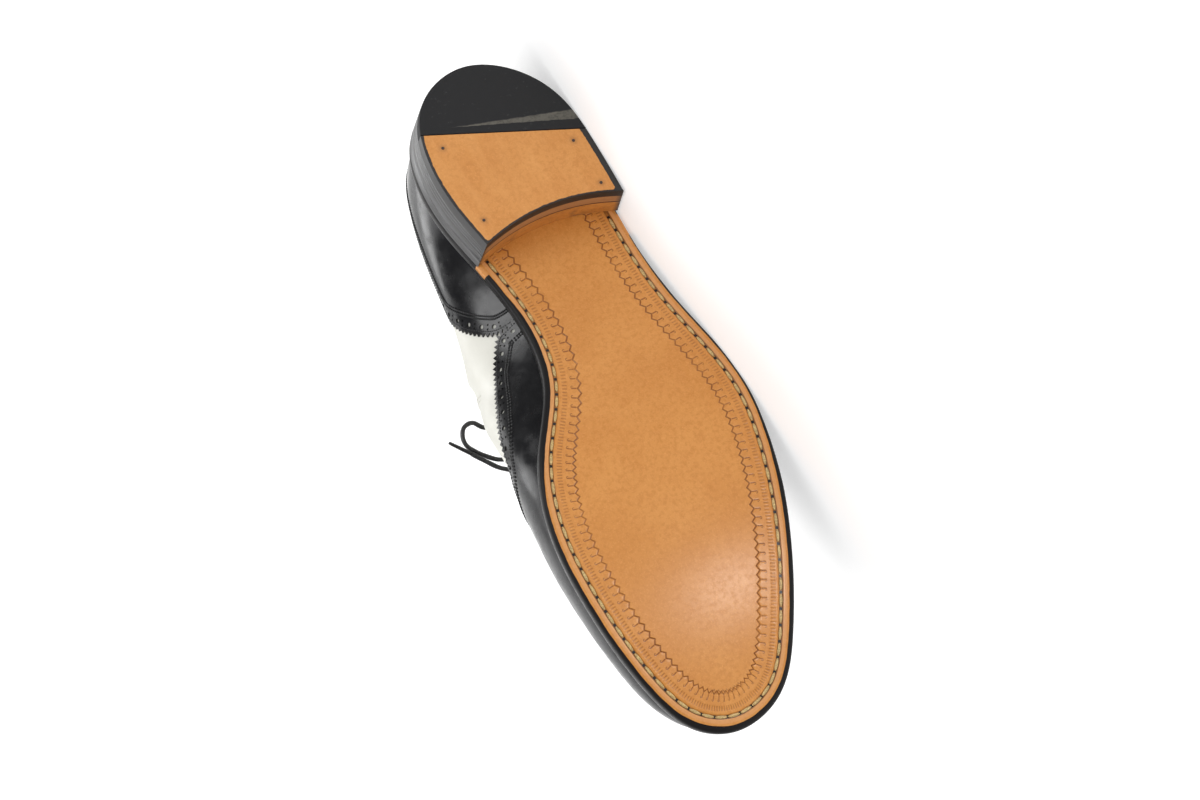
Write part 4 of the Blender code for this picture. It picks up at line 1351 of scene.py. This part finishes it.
outer_edge, inner_edge = (pinked(side, WING_EDGE) for side in SIDES)
outer_edge[-1] = (WING_EDGE[-1][0], 1.0)
inner_edge[-1] = (2.0 - WING_EDGE[-1][0], 1.0)
ridge = level_line(outer_edge[-1, 0], inner_edge[-1, 0], RIDGE_POINTS, 1.0)
foot = level_line(inner_edge[0, 0], outer_edge[0, 0], WING_FOOT_POINTS, PANEL_FOOT)
wing_outline = np.vstack([outer_edge, ridge, inner_edge[::-1], foot])
wing_holes = [hole for side in SIDES for hole in punched(side, WING_EDGE, 2, 2)]
overlay("wing_cap_calf", wing_outline, wing_holes, wing_lift, "wing_cap")

# %% Heel counter
COUNTER_EDGE = (
    # fraction, height
    (0.000, 0.735), (0.050, 0.70), (0.110, 0.63), (0.170, 0.59), (0.230, 0.58), (0.275, 0.575),
    (0.300, 0.53), (0.320, 0.43), (0.345, 0.30), (0.362, 0.21), (0.372, 0.14), (0.374, 0.06),
    (0.371, -0.01),
)
COUNTER_FOOT_POINTS = 190


def counter_lift(girth):
    return np.full(len(girth), OVERLAY_LIFT)


outer_edge, inner_edge = (pinked(side, COUNTER_EDGE) for side in SIDES)
inner_edge[:, 0] -= 2.0
foot = level_line(outer_edge[-1, 0], inner_edge[-1, 0], COUNTER_FOOT_POINTS, PANEL_FOOT)
counter_outline = np.vstack([inner_edge[::-1], outer_edge[1:], foot])
counter_holes = punched(LATERAL, COUNTER_EDGE, 0, 3)
counter_holes += [hole - (2.0, 0.0) for hole in punched(MEDIAL, COUNTER_EDGE, 1, 3)]
overlay("heel_counter_calf", counter_outline, counter_holes, counter_lift, "heel_counter")

# %% [markdown]
# ## Thread on the overlays
# Each band is sewn along its pinked edge and by a close double row on its inner side. The double row is
# what the eye reads as a fine ridge between the band and the smooth leather.

# %% Overlay stitches
BLACK_THREAD = thread_finish("black thread", (0.016, 0.016, 0.017), (0.006, 0.006, 0.006), 0.5)
SEW_PITCH = 1.3
EDGE_SIZE = (1.1, 0.5, 0.42)
ROPE_SIZE = (1.25, 1.05, 1.0)
EDGE_ROW = 2.5
INNER_ROWS = (BAND - 0.7, BAND + 0.5)
SEW_LIFT = OVERLAY + 0.06
edge_rows, inner_rows = [], []
for corners, lift_of in ((WING_EDGE, wing_lift), (COUNTER_EDGE, counter_lift)):
    for side in SIDES:
        girth, height = seam(side, corners, SEW_PITCH)
        for row in (EDGE_ROW, *INNER_ROWS):
            g, h = beside(side, girth, height, row)
            keep = (h > 0.0) & (h < 1.0)
            sewn = edge_rows if row == EDGE_ROW else inner_rows
            sewn.append((g[keep], h[keep], lift_of(g[keep]) + SEW_LIFT))
stitches("overlay_stitches", edge_rows, EDGE_SIZE, BLACK_THREAD, "black_calf")
stitches("overlay_ridges", inner_rows, ROPE_SIZE, BLACK_THREAD, "black_calf")

# %% [markdown]
# ## Topline, facings and vamp seam
# The collar and the facings are sewn close to their edges with white thread. The vamp is sewn over the
# quarters along a curve from the throat down under the wing.

# %% White stitches
WHITE_THREAD = thread_finish("white thread", (0.74, 0.73, 0.67), (0.52, 0.51, 0.46), 0.55)
WHITE_SIZE = (1.5, 0.5, 0.4)
WHITE_LIFT = 0.1
WHITE_PITCH = 2.0
COLLAR_LINE = (
    (0.00, 0.955), (0.10, 0.955), (0.20, 0.95), (0.29, 0.945), (0.36, 0.945), (0.41, 0.945), (0.438, 0.94),
)
FACING_LINES = (
    ((0.438, 0.94), (0.455, 0.945), (0.48, 0.955), (0.53, 0.965), (0.565, 0.975)),
    ((0.425, 0.82), (0.46, 0.80), (0.50, 0.79), (0.54, 0.80), (0.572, 0.85), (0.584, 0.93), (0.586, 0.99)),
)
VAMP_LINES = (
    ((0.588, 0.995), (0.575, 0.86), (0.545, 0.74), (0.510, 0.62), (0.485, 0.50), (0.470, 0.40)),
    ((0.598, 0.995), (0.585, 0.85), (0.555, 0.73), (0.522, 0.61), (0.498, 0.50), (0.484, 0.42)),
)
rows = []
for side in SIDES:
    for line in (COLLAR_LINE, *FACING_LINES, *VAMP_LINES):
        girth, height = seam(side, line, WHITE_PITCH)
        rows.append((girth, height, np.full(len(girth), WHITE_LIFT)))
stitches("upper_stitches", rows, WHITE_SIZE, WHITE_THREAD, "white_calf")

# %% [markdown]
# ## Tongue and sock
# The tongue is a black flap that follows the underside of the throat, and the sock covers the insole.
# Both are sheets with a wall; neither shows much, but the collar lets the eye in.

# %% Tongue and sock lining
TONGUE_TOE = 0.62
TONGUE_TOP = 0.46
TONGUE_SIDES = (0.76, 0.88)
TONGUE_RISE = 11.0
TONGUE_DEPTH = UPPER_WALL + 0.6
TONGUE = 2.0
TONGUE_STATIONS = 40
TONGUE_ACROSS = 14
TONGUE_RISE_ROWS = 9
TONGUE_NARROWING = 0.25
SOCK_STATIONS = 360
SOCK_PROFILE = (
    # inset, level above the underside
    (14.0, 5.35), (10.3, 5.35), (10.3, 8.15), (6.7, 8.2), (6.6, 8.6), (6.9, 8.9), (9.0, 8.9), (14.0, 8.9),
)
columns = []
for at, side_height in zip(np.linspace(TONGUE_TOE, TONGUE_TOP, TONGUE_STATIONS),
                           np.linspace(*TONGUE_SIDES, TONGUE_STATIONS)):
    heights = np.linspace(side_height, 1.0, TONGUE_ACROSS)
    outer, inner = (skin(girth, heights, -TONGUE_DEPTH) for girth in (at, 2.0 - at))
    columns.append(np.vstack([outer[:-1], (outer[-1:] + inner[-1:]) / 2, inner[-2::-1]]))
ahead = unit(columns[-1][TONGUE_ACROSS - 1] - columns[-2][TONGUE_ACROSS - 1])
last = columns[-1]
centre = last.mean(axis=0)
for step in np.linspace(0.0, TONGUE_RISE, TONGUE_RISE_ROWS)[1:]:
    narrow = 1 - TONGUE_NARROWING * (step / TONGUE_RISE) ** 3
    columns.append(centre + (last - centre) * narrow + ahead * step)
tongue = sheet("tongue_calf", np.transpose(np.array(columns[::-1]), (1, 0, 2)))
thicken(tongue, TONGUE, False, BLACK_CALF, LINING)
dress(tongue, None, "black_calf", "tongue")
sock = ringed("sock_lining", np.linspace(0.0, TOTAL, SOCK_STATIONS), SOCK_PROFILE, lambda run, inset: {})
dress(sock, LINING, "lining_leather", "insole")

# %% [markdown]
# ## Lace
# The lace is round waxed cord. Five bars cross the tongue between punched eyelets, and a bow ends in two
# loops and two tipped ends. Each cord follows the given route that its solid follows.

# %% Cord helper and finish
LACE = 2.2
CORD_SIDES = 12
STRANDS = 4
TWIST = 0.55
LOBE = 0.05
RING_STEP = 0.8
CORD_ANGLE = 60.0
FIRST_SIDE = (0.3, 0.5, 0.8)


def cord_finish():
    f = Finish("waxed cord", (0.012, 0.012, 0.013), 0.42)
    wax = f.fade(f.noise(900.0), 0.35, 0.7)
    f.feed("Base Color", f.blend(wax, (0.010, 0.010, 0.011), (0.026, 0.026, 0.027)))
    f.feed("Normal", f.bump(f.noise(1800.0, 2.0), 0.00008, 0.5))
    return f.material


CORD = cord_finish()


def tube(points, radius_of, strands=STRANDS):
    """Points and faces of a round cord along a line, its strands twisted, with closed ends."""
    line = evenly(points, max(4, round(length_of(points) / RING_STEP) + 1))
    ahead = unit(np.gradient(line, axis=0))
    side = np.cross(ahead[0], FIRST_SIDE)
    turn = np.linspace(0.0, 2 * math.pi, CORD_SIDES, endpoint=False)
    rings = []
    for k, (place, forward) in enumerate(zip(line, ahead)):
        side = unit(side - forward * (side @ forward))
        up = np.cross(forward, side)
        lobes = 1 + LOBE * np.cos(strands * turn + TWIST * k) if strands else np.ones(CORD_SIDES)
        radius = radius_of(k / (len(line) - 1)) * lobes
        rings.append(place + radius[:, None] * (np.cos(turn)[:, None] * side + np.sin(turn)[:, None] * up))
    points = np.vstack([*rings, line[:1], line[-1:]])
    faces = []
    for k in range(len(rings) - 1):
        faces.extend(quads(k * CORD_SIDES, (k + 1) * CORD_SIDES, CORD_SIDES))
    start, end = len(points) - 2, len(points) - 1
    last = (len(rings) - 1) * CORD_SIDES
    for i in range(CORD_SIDES):
        faces.append([start, (i + 1) % CORD_SIDES, i])
        faces.append([end, last + i, last + (i + 1) % CORD_SIDES])
    return points, faces


def cords(name, node, lines, finish=CORD, radius_of=lambda s: LACE / 2, strands=STRANDS):
    """Several cords joined into one dressed piece."""
    all_points, all_faces, start = [], [], 0
    for line in lines:
        points, faces = tube(line, radius_of, strands)
        all_points.append(points)
        all_faces.extend([v + start for v in face] for face in faces)
        start += len(points)
    piece = from_faces(name, np.vstack(all_points), all_faces, outward=True)
    dress(piece, finish, "waxed_cord", node, angle=CORD_ANGLE)
    return piece


print("cord", LACE, "mm thick")

# %% Bars and eyelets
LACE_BARS = (0.462, 0.486, 0.510, 0.534, 0.556)
EYELET_HEIGHT = 0.872
BAR_ROUTE = ((EYELET_HEIGHT, -1.0), (0.880, 0.9), (0.90, 1.6), (0.94, 1.55), (1.00, 1.5))
EYELET_SIZE = (4.0, 4.0, 1.0)
EYELET_LIFT = 0.05
EYELET_RADII = {"major_radius": 0.72, "minor_radius": 0.26}
for number, at in enumerate(LACE_BARS, start=1):
    heights, lifts = np.array(BAR_ROUTE).T
    outer, inner = (skin(girth, heights, lifts) for girth in (at, 2.0 - at))
    cords(f"lace_row_{number}", f"lace_bar_{number}", [through(np.vstack([outer, inner[::-1]]))])
bpy.ops.mesh.primitive_torus_add(major_segments=16, minor_segments=8, **EYELET_RADII)
ring_shape = shape_of(bpy.context.object)
girth = np.array([g for at in LACE_BARS for g in (at, 2.0 - at)])
height = np.full(len(girth), EYELET_HEIGHT)
normal = skin_normal(girth, height)
along = unit(skin_slopes(girth, height)[0])
along = unit(along - np.sum(along * normal, axis=1)[:, None] * normal)
axes = (along, np.cross(normal, along), normal)
places = skin(girth, height, EYELET_LIFT)
copies("eyelets", ring_shape, places, axes, EYELET_SIZE, WHITE_CALF, "white_calf")

# %% [markdown]
# ## Bow
# A bow is one wrap of cord round two crossing ones. The wrap is a short flattened coil, and the loops and
# ends start against it. They are free cords, each swept along its own route.

# %% Routes of the lace
LACE_ROUTES = {
    "lace_loop_medial": (
        (126.0, 3.8, 112.5), (129.5, 18.0, 112.0), (133.5, 31.0, 106.0), (133.0, 39.5, 100.0),
        (129.5, 44.5, 97.0), (131.0, 49.8, 95.5), (136.5, 52.0, 95.5), (142.0, 49.8, 96.0),
        (150.0, 39.5, 99.0), (149.0, 27.5, 105.5), (139.5, 13.5, 110.5), (129.5, 3.8, 112.5),
    ),
    "lace_loop_lateral": (
        (125.0, -6.7, 112.5), (121.0, -18.0, 112.5), (119.5, -30.0, 109.0), (122.0, -38.5, 100.0),
        (128.0, -42.0, 96.0), (135.5, -41.5, 96.5), (140.0, -34.5, 101.0), (138.0, -23.0, 108.0),
        (133.0, -13.0, 111.0), (129.0, -6.9, 112.5),
    ),
    "lace_end_medial": (
        (132.3, 0.0, 112.0), (143.0, 8.0, 109.0), (153.0, 20.0, 104.5), (157.5, 32.0, 99.5),
        (155.0, 40.5, 96.5), (149.5, 46.5, 95.0), (144.0, 51.2, 94.5),
    ),
    "lace_end_lateral": (
        (132.3, -3.5, 112.0), (143.0, -9.0, 108.0), (152.0, -19.0, 102.5), (156.0, -31.0, 94.5),
        (153.0, -39.5, 87.5), (148.0, -43.5, 82.5),
    ),
}
LACE_TIPS = {
    "lace_tip_medial": ((143.75, 51.4, 94.5), (135.0, 59.0, 94.5)),
    "lace_tip_lateral": ((147.7, -43.7, 82.2), (141.0, -47.0, 74.0)),
}
print("routes", len(LACE_ROUTES), "tips", len(LACE_TIPS))

# %% Knot
KNOT_CENTRE = np.array((127.5, -1.5, 112.5))
KNOT_TURNS = 2
KNOT_STEPS = 24
KNOT_RADII = (3.2, 1.9)
KNOT_PITCH = 2.3
coil = []
for s in np.linspace(0.0, 1.0, KNOT_STEPS * KNOT_TURNS + 1):
    angle = 2 * math.pi * KNOT_TURNS * s
    coil.append(KNOT_CENTRE + (KNOT_RADII[0] * math.cos(angle), KNOT_PITCH * KNOT_TURNS * (s - 0.5),
                               KNOT_RADII[1] * math.sin(angle)))
loops = [np.array(LACE_ROUTES[f"lace_loop_{side}"]) for side in ("medial", "lateral")]
crossings = [np.vstack([loops[0][k], KNOT_CENTRE, loops[1][k]]) for k in (0, -1)]
stubs = [np.vstack([KNOT_CENTRE, LACE_ROUTES[f"lace_end_{side}"][0]]) for side in ("medial", "lateral")]
cords("lace_bow_knot", "lace_knot", [np.array(coil), *map(through, crossings), *stubs])

# %% Tips and free cords
TIP = 1.9
TIP_OVERLAP = 1.4
TIP_NARROWING = 0.25
tip_finish = worn_finish("lace tip", (0.010, 0.010, 0.010), 500.0, 0.16, 0.34)
for name, ends in LACE_TIPS.items():
    start, end = np.array(ends)
    start = start - TIP_OVERLAP * unit(end - start)
    line = np.vstack([start, end])
    aglet = name.replace("tip", "aglet")
    cords(aglet, name, [line], tip_finish, lambda s: TIP / 2 * (1 - TIP_NARROWING * s ** 3), 0)
for name, route in LACE_ROUTES.items():
    line = through(route)
    piece = cords(name.replace("lace", "bow"), name, [line])
    length_of(line) * MM

# %% [markdown]
# ## Floor and light
# A pale floor sweeps up behind the shoe so that no horizon shows, and it glows a little to stay white.
# Two large lamps light the shoe without showing in it. Three others show only as highlights: two large
# ones on the black calf, and one small low one as a pale spot on the sole near the toe.

# %% Floor
FLOOR_HALF = 2.5
SWEEP_START = 1.2
SWEEP_RADIUS = 0.8
SWEEP_STEPS = 17
SWEEP_TOP = 3.0
FLOOR_GLOW = 0.5
WORLD_GLOW = 0.2
profile = [(-FLOOR_HALF, 0.0), (SWEEP_START - 0.02, 0.0), (SWEEP_START, 0.0)]
for angle in np.linspace(0.0, math.pi / 2, SWEEP_STEPS)[1:]:
    profile.append((SWEEP_START + SWEEP_RADIUS * math.sin(angle), SWEEP_RADIUS * (1 - math.cos(angle))))
profile.append((SWEEP_START + SWEEP_RADIUS, SWEEP_TOP))
bpy.ops.mesh.primitive_grid_add(x_subdivisions=1, y_subdivisions=len(profile) - 1)
floor = bpy.context.object
floor.name = "floor"
spots = np.array([(x, y, z) for y, z in profile for x in (-FLOOR_HALF, FLOOR_HALF)])
floor.data.vertices.foreach_set("co", spots.ravel())
only(floor)
bpy.ops.object.shade_smooth()
floor_finish = worn_finish("pale floor", (0.6, 0.6, 0.6), 6.0, 0.65, 0.8,
                           Emission_Color=(1.0, 1.0, 1.0, 1.0), Emission_Strength=FLOOR_GLOW)
floor.data.materials.append(floor_finish)
print("floor", len(floor.data.polygons), "faces")

# %% Lights
world = bpy.data.worlds.new("studio")
world.use_nodes = True
world.node_tree.nodes["Background"].inputs["Color"].default_value = (1.0, 1.0, 1.0, 1.0)
world.node_tree.nodes["Background"].inputs["Strength"].default_value = WORLD_GLOW
bpy.context.scene.world = world
bpy.context.scene.view_settings.view_transform = "Standard"
GLARE_SPOT = laid([(259.0, -6.0, 2.0)])[0]
GLARE_FROM = laid([(271.0, -39.0, -102.0)])[0]
LIGHTS = (
    # name, place in metres, what it lights, size, watts, lights surfaces, shows as a reflection
    ("overhead", (0.0, 0.0, 1.7), (0.0, 0.0, 0.0), 2.2, 17.0, True, False),
    ("front", (0.85, -0.8, 1.0), (0.05, -0.03, 0.07), 0.94, 13.0, False, True),
    ("soft front", (0.25, -1.5, 0.9), (0.0, -0.04, 0.06), 2.2, 17.2, True, False),
    ("heel side", (0.97, 0.67, 0.86), (0.05, -0.03, 0.08), 0.8, 6.4, False, True),
    ("backdrop", (0.0, 0.9, 1.5), (0.0, 1.5, 0.0), 1.6, 15.0, True, True),
    ("toe side", (-1.4, -0.4, 0.9), (0.0, 0.0, 0.05), 1.2, 1.5, True, True),
    ("low glare", GLARE_FROM, GLARE_SPOT, 0.035, 0.085, False, True),
)
for name, spot, target, size, watts, lights, shows in LIGHTS:
    lamp = bpy.data.lights.new(name, "AREA")
    lamp.shape = "DISK"
    lamp.size = size
    lamp.energy = watts
    light = bpy.data.objects.new(name, lamp)
    light.location = spot
    light.rotation_euler = (Vector(target) - Vector(spot)).to_track_quat("-Z", "Y").to_euler()
    light.visible_camera = False
    light.visible_diffuse = lights
    light.visible_glossy = shows
    bpy.context.scene.collection.objects.link(light)
print("lights", len(LIGHTS), "low light at", [round(float(v), 3) for v in GLARE_FROM])
